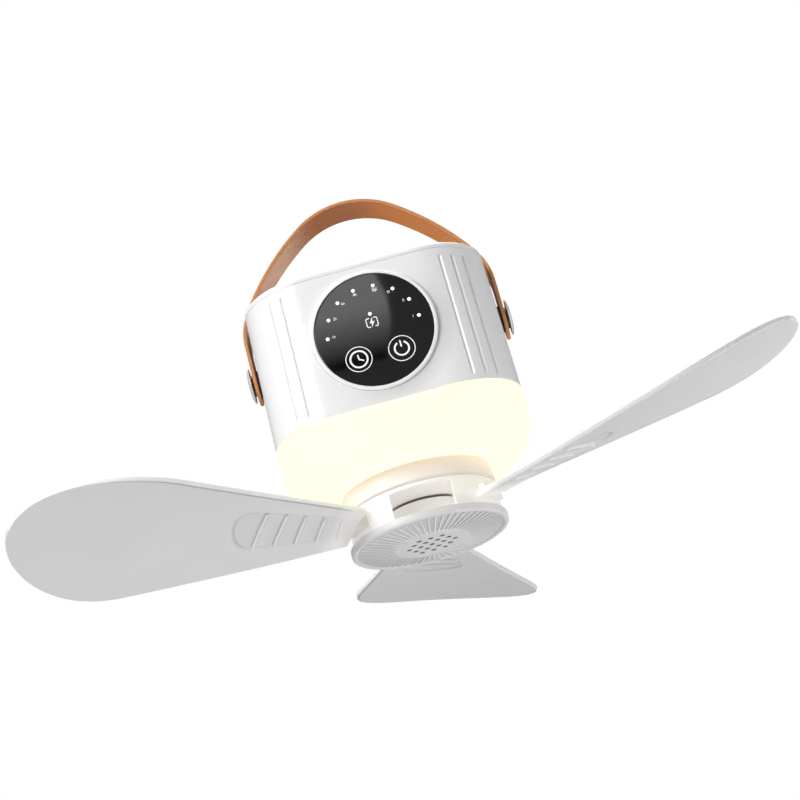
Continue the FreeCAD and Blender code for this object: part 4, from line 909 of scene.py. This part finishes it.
# ------------------------------------------------------------------ rotor hub
def turn(V, deg):
    c, s = math.cos(math.radians(deg)), math.sin(math.radians(deg))
    V = np.asarray(V, float)
    return np.column_stack([V[:, 0] * c - V[:, 1] * s, V[:, 0] * s + V[:, 1] * c, V[:, 2]])


half = math.degrees(math.asin(13.3 / 33.0))
inn = math.degrees(math.asin(13.3 / 16.0))
plan = []
for i in range(3):
    a = 120.0 * i
    plan += [(33 * math.cos(t), 33 * math.sin(t)) for t in np.radians(np.linspace(a - 60 + half, a + 60 - half, 37))]
    plan += [(16 * math.cos(t), 16 * math.sin(t)) for t in np.radians(np.linspace(a + 60 - inn, a + 60 + inn, 41))]
A = np.array([(x, y, -43.55) for x, y in plan])
B = np.array([(x, y, -31.9) for x, y in plan])
hub = raw("hub_core", *tube([A, B], loop=False, cap0=True, cap1=True))
slots = []
for i in range(3):
    V, F = box_part(20.6, 40, -7.12, 7.12, -40.72, -34.48)
    slots.append((turn(V, 120 * i), F))
carve(hub, slots)
carve(hub, [lathe([(0, -48), (5.6, -48), (5.6, -39.55), (2.02, -39.55), (2.02, -30), (0, -30)], "Z", 0, 40, False)])
round_edges(hub, 0.45, 40, 3)
carve(hub, [lathe([(13.0, -33.15), (17.2, -33.15), (17.2, -31.0), (13.0, -31.0)], "Z", 0, 96)])
dp = fillet([(2.05, -32.1), (16.3, -32.1), (33.0, -32.1), (33.0, -30.3), (2.05, -30.3)], [0.1, 0, 0.55, 0.55, 0.1], 5)
V, F = lathe(support(dp), "Z", 0, 192)
V2 = np.array([tuple(p.co * 1000) for p in hub.data.vertices]) + np.array([0, 0, HD])
F2 = [tuple(p.vertices) for p in hub.data.polygons]
bpy.data.objects.remove(hub)
# faces inside the groove at the drum's top take the painted-shade material (slot 1)
gap = []
for f in F:
    q = V[list(f)]
    gap.append(1 if q[:, 2].max() < -31.9 and np.hypot(q[:, 0], q[:, 1]).max() < 16.4 else 0)
for f in F2:
    q = V2[list(f)]
    gap.append(1 if q[:, 2].min() > -33.2 and np.hypot(q[:, 0], q[:, 1]).max() < 16.3 else 0)
V, F = merge([(V, F), (V2, F2)])
hub = raw("hub", turn(V, PHASE), F, gap)
publish(hub, "rotor", [M["hub"], M["gap"]], ["rotor_hub"], 35)

# ------------------------------------------------------------------ hub cap
# underside as a height field on rings whose points follow the sixty ribs
NR = 60
offs = [-0.52, -0.375, -0.28, -0.12, 0.12, 0.28, 0.375, 0.52]
ribz = [0.0, 0.30, 0.52, 0.60, 0.60, 0.52, 0.30, 0.0]


def cone_z(r):
    return -46.45 + (31.1 - r) / (31.1 - 16.9) * (-48.1 + 46.45)


def cap_ring(r, zf, ribbed=0.0):
    P = []
    for k in range(NR):
        a = 2 * math.pi * k / NR
        for s, h in zip(offs, ribz):
            P.append((r * math.cos(a + s / max(r, 14)), r * math.sin(a + s / max(r, 14)), zf - h * ribbed))
        gap = 2 * math.pi / NR - 2 * 0.52 / max(r, 14)
        for j in (1, 2):
            b = a + 0.52 / max(r, 14) + gap * j / 3
            P.append((r * math.cos(b), r * math.sin(b), zf))
    return np.array(P)


rings = [cap_ring(33.9, -43.6), cap_ring(34.45, -43.63), cap_ring(34.66, -43.8), cap_ring(34.7, -44.2), cap_ring(34.7, -45.9)]
for t in np.linspace(0.15, 1, 8):
    w = t * math.pi / 2
    rings.append(cap_ring(33.7 + 1.0 * math.cos(w), -46.1 - 1.0 * math.sin(w)))
rings += [cap_ring(33.4, -47.1), cap_ring(33.0, -47.1), cap_ring(32.8, -47.07), cap_ring(32.65, -46.98), cap_ring(32.55, -46.78), cap_ring(32.45, -46.5), cap_ring(32.3, cone_z(32.3), 0.0)]
for r in np.concatenate([[32.2, 32.0, 31.7], np.linspace(31.2, 16.9, 16)]):
    rings.append(cap_ring(r, cone_z(r), 1.12 * float(smooth01((32.35 - r) / 0.6))))
rings += [cap_ring(16.75, -48.15, 0.95), cap_ring(16.55, -48.3, 0.6), cap_ring(16.35, -48.5, 0.25), cap_ring(16.15, -48.66), cap_ring(15.9, -48.73), cap_ring(15.6, -48.75), cap_ring(15.0, -48.75)]
V, F = tube(rings, loop=False, cap0=True, cap1=True)
cap = raw("hub_cover", V, F)
vents, VENTS = [], []
for q in range(-2, 3):
    for r_ in range(-2, 3):
        if abs(q + r_) <= 2:
            x, y = 5.1 * (q + r_ / 2.0), 5.1 * r_ * math.sqrt(3) / 2
            t = math.radians(-PHASE)
            cx, cy = x * math.cos(t) - y * math.sin(t), x * math.sin(t) + y * math.cos(t)
            v_, f_ = lathe([(0, -50), (1.5, -50), (1.32, -48.74), (1.22, -48.6), (1.18, -48.3), (1.18, -45.6), (0, -45.6)], "Z", 0, 24, False)
            vents.append((v_ + np.array([cx, cy, 0]), f_))
            VENTS.append((cx, cy))
carve(cap, vents)
pegs = []
for i in range(3):
    t = math.radians(120 * i + 27)
    v_, f_ = lathe(fillet([(0.0001, -43.7), (1.25, -43.7), (1.25, -40.7), (0.0001, -40.7)], [0, 0, 0.3, 0], 3), "Z", 0, 24)
    pegs.append((v_ + np.array([28.5 * math.cos(t), 28.5 * math.sin(t), 0]), f_))
V2 = np.array([tuple(p.co * 1000) for p in cap.data.vertices]) + np.array([0, 0, HD])
F2 = [tuple(p.vertices) for p in cap.data.polygons]
bpy.data.objects.remove(cap)
slot_of = []
for f in F2:
    c = V2[list(f)].mean(0)
    r = math.hypot(c[0], c[1])
    s = 0
    # the floor between the ribs takes the painted shade, the rib crests the painted highlight
    if 17.0 < r < 32.3 and c[2] < cone_z(r) + 0.2:
        s = 1 if c[2] > cone_z(r) - 0.56 else 3
    # vent hole walls take the painted-shade material
    if r < 14 and -48.62 < c[2] < -45 and min(math.hypot(c[0] - x, c[1] - y) for x, y in VENTS) < 1.4:
        s = 2
    slot_of.append(s)
V, F = merge([(V2, F2)] + pegs)
slot_of += [0] * (len(F) - len(slot_of))
publish(raw("hub_cover", turn(V, PHASE), F, slot_of), "rotor", [M["cap"], M["capdeep"], M["vent"], M["crest"]], ["hub_cap"], 38)

# ------------------------------------------------------------------ blades
TIPX, TIPY = 184.5, -6.24
F0, F1, K0, K1 = (33.5, 11.1), (125.46, 36.45), (33.5, -13.3), (125.09, -46.1)


def bez(p, n):
    t = np.linspace(0, 1, n)[:, None]
    p = [np.array(q, float) for q in p]
    return (1 - t) ** 3 * p[0] + 3 * t * (1 - t) ** 2 * p[1] + 3 * t * t * (1 - t) * p[2] + t ** 3 * p[3]


df = np.array(F1) - np.array(F0)
df = df / np.linalg.norm(df)
db = np.array(K1) - np.array(K0)
db = db / np.linalg.norm(db)
cf1 = np.array(F1) + df * 0.60 * (TIPX - F1[0])
cf2 = (TIPX, TIPY + 0.65 * (F1[1] - TIPY))
cb1 = np.array(K1) + db * 0.56 * (TIPX - K1[0])
cb2 = (TIPX, TIPY - 0.66 * (-K1[1] + TIPY))
low = [np.array(K0) + (np.array(K1) - np.array(K0)) * t for t in np.linspace(0, 1, 62)[:-1]]
low += list(bez([K1, cb1, cb2, (TIPX, TIPY)], 64)[:-1])
high = list(bez([(TIPX, TIPY), cf2, cf1, F1], 64)[:-1])
high += [np.array(F1) + (np.array(F0) - np.array(F1)) * t for t in np.linspace(0, 1, 62)[:-1]]
end = [np.array(F0) + (np.array(K0) - np.array(F0)) * t for t in np.linspace(0, 1, 18)[:-1]]
BL = np.array(low + high + end)


def blade_map(theta):
    def f(P):
        def pos(r, c):
            s = (r - 36) / 100
            be = np.radians(15.37 - 6.73 * s + 2.56 * s * s)
            z = -37.03 + (r - 36) * math.tan(math.radians(2.6)) + 3.47 * s * s + c * np.sin(be) - 3.35 * (c / 40) ** 2
            cc = c * np.cos(be)
            t = math.radians(theta)
            return np.column_stack([r * math.cos(t) - cc * math.sin(t), r * math.sin(t) + cc * math.cos(t), z])
        r, c = P[:, 0], P[:, 1]
        Q = pos(r, c)
        a = pos(r + 0.01, c) - Q
        b_ = pos(r, c + 0.01) - Q
        N = np.cross(a, b_)
        N /= np.linalg.norm(N, axis=1)[:, None]
        return Q, N
    return f


GRIP = spline([(40, -8.7), (52, -10.4), (66, -12.4), (77.5, -13.9), (84.0, -12.0), (88.6, -6.2), (91.2, 1.6), (91.2, 7.2), (88.6, 11.0), (82.5, 12.2), (70, 10.9), (55, 9.2), (42.4, 7.4), (37.0, 4.6), (35.6, -1.0), (36.6, -6.2)], 8)
RIBS = [(78.9, -12.6, 11.8), (69.5, -11.4, 10.2), (60.3, -10.3, 9.0), (50.9, -8.8, 6.8), (42.0, -6.8, 4.2)]


def capsule(p, q, r, n=7):
    p, q = np.array(p, float), np.array(q, float)
    a = math.atan2(*(q - p)[::-1])
    P = [q + r * np.array([math.cos(a + w), math.sin(a + w)]) for w in np.linspace(-math.pi / 2, math.pi / 2, n)]
    m = 14
    P += [(q + (p - q) * t) + r * np.array([math.cos(a + math.pi / 2), math.sin(a + math.pi / 2)]) for t in np.linspace(0, 1, m)[1:-1]]
    P += [p + r * np.array([math.cos(a + w), math.sin(a + w)]) for w in np.linspace(math.pi / 2, 1.5 * math.pi, n)]
    P += [(p + (q - p) * t) + r * np.array([math.cos(a - math.pi / 2), math.sin(a - math.pi / 2)]) for t in np.linspace(0, 1, m)[1:-1]]
    return np.array(P)


RIBSEG = [((r - 0.95, c0), (r + 0.95, c1)) for r, c0, c1 in RIBS]


def root_swell(P, d):
    e = np.interp(P[:, 0], [33.5, 37, 42.5, 49, 200], [1.5, 1.05, 0.5, 0.0, 0.0])
    return e * smooth01(d / 2.6)


def blade_bot(P, d):
    sd = seg_dist(P, GRIP)
    sd = np.where(inside(P, GRIP), sd, -sd)
    deep = 0.6 * smooth01((sd + 0.2) / 1.3) * smooth01((P[:, 0] - 42) / 16)
    rib = np.zeros(len(P))
    for i, (p, q) in enumerate(RIBSEG):
        s = seg_dist(P, np.array([p, q]), False)
        h = 1.0 if i < 4 else 0.5
        rib = np.maximum(rib, h * smooth01((0.8 - s) / 0.42))
    return root_swell(P, d) - deep + rib


feats = [(offset(GRIP, -0.2), True), (offset(GRIP, 0.12), True), (offset(GRIP, 0.45), True), (offset(GRIP, 0.8), True), (offset(GRIP, 1.1), True)]
for p, q in RIBSEG:
    for w in (0.3, 0.45, 0.6, 0.8, 1.15, 1.5):
        feats.append((capsule(p, q, w), True))
gx, gy = np.meshgrid(np.arange(34, 186, 2.4), np.arange(-56, 50, 2.4))
G1 = np.column_stack([gx.ravel(), gy.ravel()])
gx, gy = np.meshgrid(np.arange(34, 94, 1.1), np.arange(-16, 15, 1.1))
G2 = np.column_stack([gx.ravel(), gy.ravel()])
G1 = G1[~((G1[:, 0] < 94.2) & (np.abs(G1[:, 1]) < 16.5))]
GB = np.vstack([G1, G2])
DS = [0.0, 0.05, 0.14, 0.28, 0.5, 0.8, 1.2, 1.7]
HS = [0.62, 0.78, 0.90, 1.0, 1.07, 1.1, 1.1, 1.1]

tongue = bmesh.new()
bmesh.ops.create_cube(tongue, size=1.0)
for vv in tongue.verts:
    vv.co = Vector(((21.0 + 35.2) / 2 + vv.co.x * 14.2, vv.co.y * 14.0, -37.6 + vv.co.z * 6.0))
bmesh.ops.bevel(tongue, geom=list(tongue.edges), offset=0.6, segments=3, affect="EDGES", profile=0.5)
tongue.verts.ensure_lookup_table()
TV = np.array([tuple(p.co) for p in tongue.verts])
TF = [tuple(p.index for p in f.verts) for f in tongue.faces]
tongue.free()

HIGH = np.array(high + [F0])


def blade_tone(P, d):
    """For each point of the flat plan: painted shade in creases on the underside, painted highlight on edges and rib
    crests, painted glow by closeness to the hub.
    """
    r, c = P[:, 0], P[:, 1]
    sd = seg_dist(P, GRIP)
    ins = inside(P, GRIP)
    painted_crease_shade = 0.42 * np.exp(-((sd - 0.15) / 0.55) ** 2) * smooth01((r - 76 - 0.35 * np.maximum(c, 0)) / 9)
    painted_crease_shade += 0.07 * ins * smooth01(sd / 1.0)
    pale = np.zeros(len(P))
    for i, (p, q) in enumerate(RIBSEG):
        p, q = np.array(p), np.array(q)
        u = (q - p) / np.linalg.norm(q - p)
        along = (P - p) @ u
        side = (P - p) @ np.array([u[1], -u[0]])
        w = smooth01((along + 0.5) / 0.9) * smooth01((np.linalg.norm(q - p) + 0.5 - along) / 0.9) * (1.0 if i < 4 else 0.55)
        painted_crease_shade = np.maximum(painted_crease_shade, 0.48 * w * np.exp(-((side + 0.98) / 0.42) ** 2))
        pale = np.maximum(pale, 0.95 * w * np.exp(-((side - 0.12) / 0.5) ** 2))
    hd = seg_dist(P, HIGH, False)
    line = np.exp(-((hd - 0.8) / 0.5) ** 2) * smooth01((164 - r) / 34)
    painted_crease_shade = np.maximum(painted_crease_shade, 0.78 * line)
    wall = smooth01((0.4 - hd) / 0.35)
    glow_weight = smooth01((50 - r) / 15.0)
    return painted_crease_shade, pale, wall, glow_weight


for tag, th in (("a", PHASE), ("b", PHASE + 120), ("c", PHASE + 240)):
    V, F, n, P, T, d = plate(BL, DS, HS, [], feats, GB, blade_map(th), root_swell, blade_bot)
    V, F = merge([(V, F), (turn(TV, th), TF)])
    blade = raw("fan_blade_" + tag, V, F)
    painted_crease_shade, pale, wall, glow_weight = blade_tone(P, d)
    nt_, z_ = len(TV), np.zeros(len(P))
    for key, up_, dn_, end_ in (("painted_crease_shade", z_, painted_crease_shade * (1 - wall), 0.0), ("pale", wall, np.maximum(pale, wall), 0.0), ("painted_hub_glow", glow_weight, glow_weight, 0.6)):
        at = blade.data.attributes.new(key, "FLOAT", "POINT")
        at.data.foreach_set("value", np.concatenate([up_, dn_, np.full(nt_, end_)]))
    publish(blade, "blade_" + tag, [M["blade"]], ["blade_" + tag], 40)

# ------------------------------------------------------------------ leather strap
CROWN = 113.72
turns = [36.207, 19.087, 9.628]
turns.append(90 - sum(turns))
rads = [37.276, 120.832, 53.853, 27.767]
chain, at, head, acc = [], (0.0, CROWN), 0.0, 0.0
for rad, tn in zip(rads, turns):
    cx, cz = at[0] - rad * math.sin(head), at[1] - rad * math.cos(head)
    nxt = head + math.radians(tn)
    chain.append((acc, cx, cz, rad, head))
    acc += rad * math.radians(tn)
    at, head = (cx + rad * math.sin(nxt), cz + rad * math.cos(nxt)), nxt
RUN_X, RUN_Z, RUN_S = at[0], at[1], acc
PIV_S = RUN_S + RUN_Z - PIVOT
THK = 1.52


def strap_map(P):
    s, y = P[:, 0], P[:, 1]
    a = np.abs(s)
    X, Z, NX, NZ = (np.zeros(len(s)) for _ in range(4))
    for i, (s0, cx, cz, rad, h0) in enumerate(chain):
        s1 = chain[i + 1][0] if i < 3 else RUN_S
        m_ = (a >= s0 - 1e-9) & (a <= s1 + 1e-9)
        w = h0 + (a[m_] - s0) / rad
        X[m_], Z[m_], NX[m_], NZ[m_] = cx + rad * np.sin(w), cz + rad * np.cos(w), np.sin(w), np.cos(w)
    m_ = a > RUN_S
    X[m_], Z[m_], NX[m_], NZ[m_] = RUN_X, RUN_Z - (a[m_] - RUN_S), 1.0, 0.0
    sg = np.where(s < 0, -1.0, 1.0)
    N = np.column_stack([NX * sg, np.zeros(len(s)), NZ])
    Q = np.column_stack([X * sg, -y, Z]) - N * (THK / 2)
    return Q, N


outl = []
for k in np.linspace(-PIV_S, PIV_S, 190):
    outl.append((k, -9.5))
outl += [(PIV_S + 9.5 * math.sin(t), -9.5 * math.cos(t)) for t in np.linspace(0, math.pi, 40)[1:-1]]
for k in np.linspace(PIV_S, -PIV_S, 190):
    outl.append((k, 9.5))
outl += [(-PIV_S - 9.5 * math.sin(t), 9.5 * math.cos(t)) for t in np.linspace(0, math.pi, 40)[1:-1]]
outl = np.array(outl)
hol = [np.array([(sx * PIV_S + 3.15 * math.cos(t), 3.15 * math.sin(t)) for t in np.linspace(0, 2 * math.pi, 40, endpoint=False)]) for sx in (1, -1)]
gx, gy = np.meshgrid(np.arange(-112, 112.1, 1.15), np.arange(-9.2, 9.21, 1.15))
GS = np.column_stack([gx.ravel(), gy.ravel()])
SDS, SHS = [0.0, 0.06, 0.16, 0.32, 0.6, 0.95], [0.50, 0.60, 0.68, 0.73, 0.755, 0.76]


def hide(P, d):
    """Slight unevenness of the hide."""
    s, y = P[:, 0], P[:, 1]
    w = 0.030 * np.sin(s * 0.31 + 1.3 * np.sin(y * 0.4)) + 0.022 * np.sin(s * 0.83 + y * 0.9 + 0.7) + 0.014 * np.sin(s * 1.7 - y * 1.3)
    return (w - 0.03) * smooth01(d / 1.2) * smooth01((np.abs(np.abs(s) - PIV_S) - 6) / 4)


V, F, n, P, T, d = plate(outl, SDS, SHS, hol, [], GS, strap_map, hide, hide)
mi = []
for t in T:
    mi.append(1 if d[list(t)].max() < 0.33 else 0)
mi = mi + mi
mi += [1] * (len(F) - len(mi))
strap = raw("carry_strap", V, F, mi)
top_, low_ = V[:n, 0], V[n:, 0]
# painted sheen on the underside's upper left
painted_sheen = smooth01((-12 - low_) / 22) * (V[n:, 2] > 60)
# underside: painted light on the right leg; the outer face gets an even golden tone
gold_tone_and_painted_light = smooth01((low_ - 0) / 22) * smooth01((56 - low_) / 10)
for key, val in (("rim", np.concatenate([np.exp(-d / 0.9), np.exp(-d / 0.9)])),
                 ("painted_sheen", np.concatenate([0.15 * smooth01((-14 - top_) / 26), painted_sheen])),
                 ("gold_tone_and_painted_light", np.concatenate([np.full(n, 0.45), gold_tone_and_painted_light]))):
    at = strap.data.attributes.new(key, "FLOAT", "POINT")
    at.data.foreach_set("value", np.asarray(val, float))
publish(strap, "handle", [M["leather"], M["edge"]], ["strap"], 50)

# ------------------------------------------------------------------ rivets
rp = [(0, 59.8), (2.4, 59.78), (4.2, 59.7), (5.6, 59.54), (6.6, 59.33), (7.3, 59.08), (7.72, 58.82), (7.93, 58.58), (7.98, 58.44), (7.9, 58.33), (7.7, 58.3), (3.2, 58.3),
      (3.0, 58.2), (3.0, 46.0), (2.6, 45.6), (0, 45.6)]
parts = []
for s in (1, -1):
    parts.append(lathe([(r, s * h) for r, h in rp], "X", PIVOT, 96, False))
publish(raw("rivets", *merge(parts)), "housing", [M["rivet"]], ["pivot_rivets"], 45)

# ------------------------------------------------------------------ rubber socket cover
rr = np.array(rounded_rect(15.0, 8.2, 2.1, 10))
gx, gy = np.meshgrid(np.arange(-7, 7.1, 0.5), np.arange(-4, 4.1, 0.5))


def flap_map(P):
    Q = np.column_stack([P[:, 0], np.full(len(P), 53.4), P[:, 1] + 17.0])
    return Q, np.tile(np.array([0.0, 1.0, 0.0]), (len(P), 1))


def flap_top(P, d):
    return -0.28 * smooth01((1.0 - np.hypot((P[:, 0] - 5.0) / 1.3, P[:, 1] / 1.9)) / 0.5)


V, F, n, P, T, d = plate(rr, [0, 0.05, 0.15, 0.3, 0.5], [0.3, 0.42, 0.54, 0.62, 0.65], [], [], np.column_stack([gx.ravel(), gy.ravel()]), flap_map, flap_top, None)
V2, F2 = prism_y(rounded_rect(7.8, 2.1, 0.8), 51.7, 52.9, 17.0)
publish(raw("socket_flap", *merge([(V, F), (V2, F2)])), "housing", [M["rubber"]], ["socket_cover"], 40)

# ------------------------------------------------------------------ camera
el, yaw, roll, DIST = math.radians(-19.8365), math.radians(0.0072), math.radians(15.1295), 1025.93
tgt = Vector((2.773, 0, -93.712))
dv = Vector((math.sin(yaw) * math.cos(el), math.cos(yaw) * math.cos(el), -math.sin(el)))
eye = (tgt - dv * DIST) * 0.001
rt = dv.cross(Vector((0, 0, 1))).normalized()
up = rt.cross(dv)
Rr = rt * math.cos(roll) - up * math.sin(roll)
Uu = rt * math.sin(roll) + up * math.cos(roll)
cam = bpy.data.cameras.new("photo_camera")
cam.sensor_fit, cam.sensor_width, cam.lens = "HORIZONTAL", 36.0, 105.42
cam.clip_start, cam.clip_end = 0.05, 60
co = bpy.data.objects.new("photo_camera", cam)
mat = Matrix.Identity(4)
for i in range(3):
    mat[i][0], mat[i][1], mat[i][2], mat[i][3] = Rr[i], Uu[i], -dv[i], eye[i]
co.matrix_world = mat
SC.collection.objects.link(co)
SC.camera = co

# ------------------------------------------------------------------ floor, backdrop light and lamps
fm, nt, b = material("pale_floor")
v = coords(nt)
nt.links.new(mix(nt, noise(nt, v, 1.2, 3), (0.80, 0.80, 0.81), (0.84, 0.84, 0.845)), b.inputs["Base Color"])
b.inputs["Roughness"].default_value = 0.6
b.inputs["Emission Color"].default_value = (1, 1, 1, 1)
ln = nt.nodes.new("ShaderNodeVectorMath")
ln.operation = "LENGTH"
nt.links.new(v, ln.inputs[0])
seen = nt.nodes.new("ShaderNodeLightPath").outputs["Is Camera Ray"]
nt.links.new(calc(nt, "MULTIPLY", seen, ramp(nt, ln.outputs["Value"], 1.1, 5.0, 0.42, 0.74)), b.inputs["Emission Strength"])
me = bpy.data.meshes.new("floor")
me.from_pydata([(-30, -30, -1.05), (30, -30, -1.05), (30, 30, -1.05), (-30, 30, -1.05)], [], [(0, 1, 2, 3)])
me.materials.append(fm)
fl = bpy.data.objects.new("floor", me)
SC.collection.objects.link(fl)


def card(name, pts, strength_fn):
    me = bpy.data.meshes.new(name)
    me.from_pydata(pts, [], [tuple(range(len(pts)))])
    m = bpy.data.materials.new(name)
    m.use_nodes = True
    nt = m.node_tree
    nt.nodes.clear()
    out = nt.nodes.new("ShaderNodeOutputMaterial")
    e = nt.nodes.new("ShaderNodeEmission")
    nt.links.new(e.outputs[0], out.inputs[0])
    strength_fn(nt, e)
    me.materials.append(m)
    o = bpy.data.objects.new(name, me)
    SC.collection.objects.link(o)
    o.visible_camera = False
    o.visible_diffuse = False
    o.visible_shadow = False
    return o


# a soft window above and before the fan: the panel's pale half is its mirror image
ex, ey, ez = 2.652, -965.056, -441.848
plane, LC = -55.05, 620.0
cur = [(-34, 34), (-34, -14), (2.0, -14.0), (3.81, -9.06), (5.93, -4.11), (7.3, 0.2), (7.95, 3.5), (8.35, 7.0), (8.5, 11.0), (8.3, 15.0), (7.67, 18.31), (6.9, 21.3), (6.05, 23.98), (4.2, 29), (2.0, 34)]
mir = (ex, 2 * plane - ey, ez)
pts = []
for x, z in cur:
    p = (x, plane, z + PANEL - HD)
    k = (LC + plane) / (mir[1] - plane)
    pts.append(((p[0] + (p[0] - mir[0]) * k) / 1000, -LC / 1000, (p[2] + (p[2] - mir[2]) * k) / 1000))


def fade(nt, e):
    g = nt.nodes.new("ShaderNodeTexCoord").outputs["Object"]
    s = nt.nodes.new("ShaderNodeSeparateXYZ")
    nt.links.new(g, s.inputs[0])
    z_of = lambda zr: ((zr + PANEL - HD) + ((zr + PANEL - HD) - mir[2]) * ((LC + plane) / (mir[1] - plane))) / 1000
    nt.links.new(ramp(nt, s.outputs["Z"], z_of(-12.0), z_of(11.0), 0.0, 3.1), e.inputs["Strength"])
    e.inputs["Color"].default_value = (1.0, 0.985, 1.0, 1)


card("window_card", pts, fade)


def lamp(name, loc, target, size, size_y, energy, color=(1, 1, 1)):
    l = bpy.data.lights.new(name, "AREA")
    l.shape, l.size, l.size_y, l.energy, l.color = "RECTANGLE", size, size_y, energy, color
    o = bpy.data.objects.new(name, l)
    o.location = loc
    o.rotation_mode = "QUATERNION"
    o.rotation_quaternion = (Vector(target) - Vector(loc)).to_track_quat("-Z", "Y")
    o.visible_camera = False
    SC.collection.objects.link(o)
    return o


AIM = (0, 0, -0.12)
lamp("key_front_left", (-0.8, -0.9, 0.3), AIM, 0.6, 0.6, 11.8)
lamp("fill_front", (0.0, -0.95, 0.35), AIM, 0.6, 0.6, 0.2)
lamp("fill_low_left", (-0.5, -0.6, -0.55), AIM, 0.5, 0.5, 0.45)
lamp("under_left", (-0.6, 0.0, -0.95), AIM, 0.8, 0.8, 0.9)
lamp("side_right", (0.95, 0.0, -0.1), AIM, 0.6, 0.6, 2.2)
lamp("under_right", (0.6, 0.0, -0.95), AIM, 0.8, 0.8, 4.9)
lamp("top", (0.0, 0.0, 0.9), AIM, 0.9, 0.9, 8.8)
lamp("back", (0.0, 0.8, 0.75), (0, 0.05, -0.06), 0.6, 0.6, 3.6)

w = bpy.data.worlds.new("studio")
SC.world = w
w.use_nodes = True
nt = w.node_tree
nt.nodes.clear()
out = nt.nodes.new("ShaderNodeOutputWorld")
lp = nt.nodes.new("ShaderNodeLightPath")
bgc, bgo, mx = nt.nodes.new("ShaderNodeBackground"), nt.nodes.new("ShaderNodeBackground"), nt.nodes.new("ShaderNodeMixShader")
bgc.inputs["Color"].default_value = (1, 1, 1, 1)
bgc.inputs["Strength"].default_value = 1.0
tc = nt.nodes.new("ShaderNodeTexCoord")
sp = nt.nodes.new("ShaderNodeSeparateXYZ")
nt.links.new(tc.outputs["Generated"], sp.inputs[0])
nt.links.new(ramp(nt, sp.outputs["Z"], -0.6, 0.6, 0.26, 0.24), bgo.inputs["Strength"])
bgo.inputs["Color"].default_value = (0.99, 0.985, 1.0, 1)
nt.links.new(lp.outputs["Is Camera Ray"], mx.inputs[0])
nt.links.new(bgo.outputs[0], mx.inputs[1])
nt.links.new(bgc.outputs[0], mx.inputs[2])
nt.links.new(mx.outputs[0], out.inputs[0])

SC.view_settings.view_transform = "Standard"
SC.view_settings.look = "None"

bpy.context.view_layer.update()
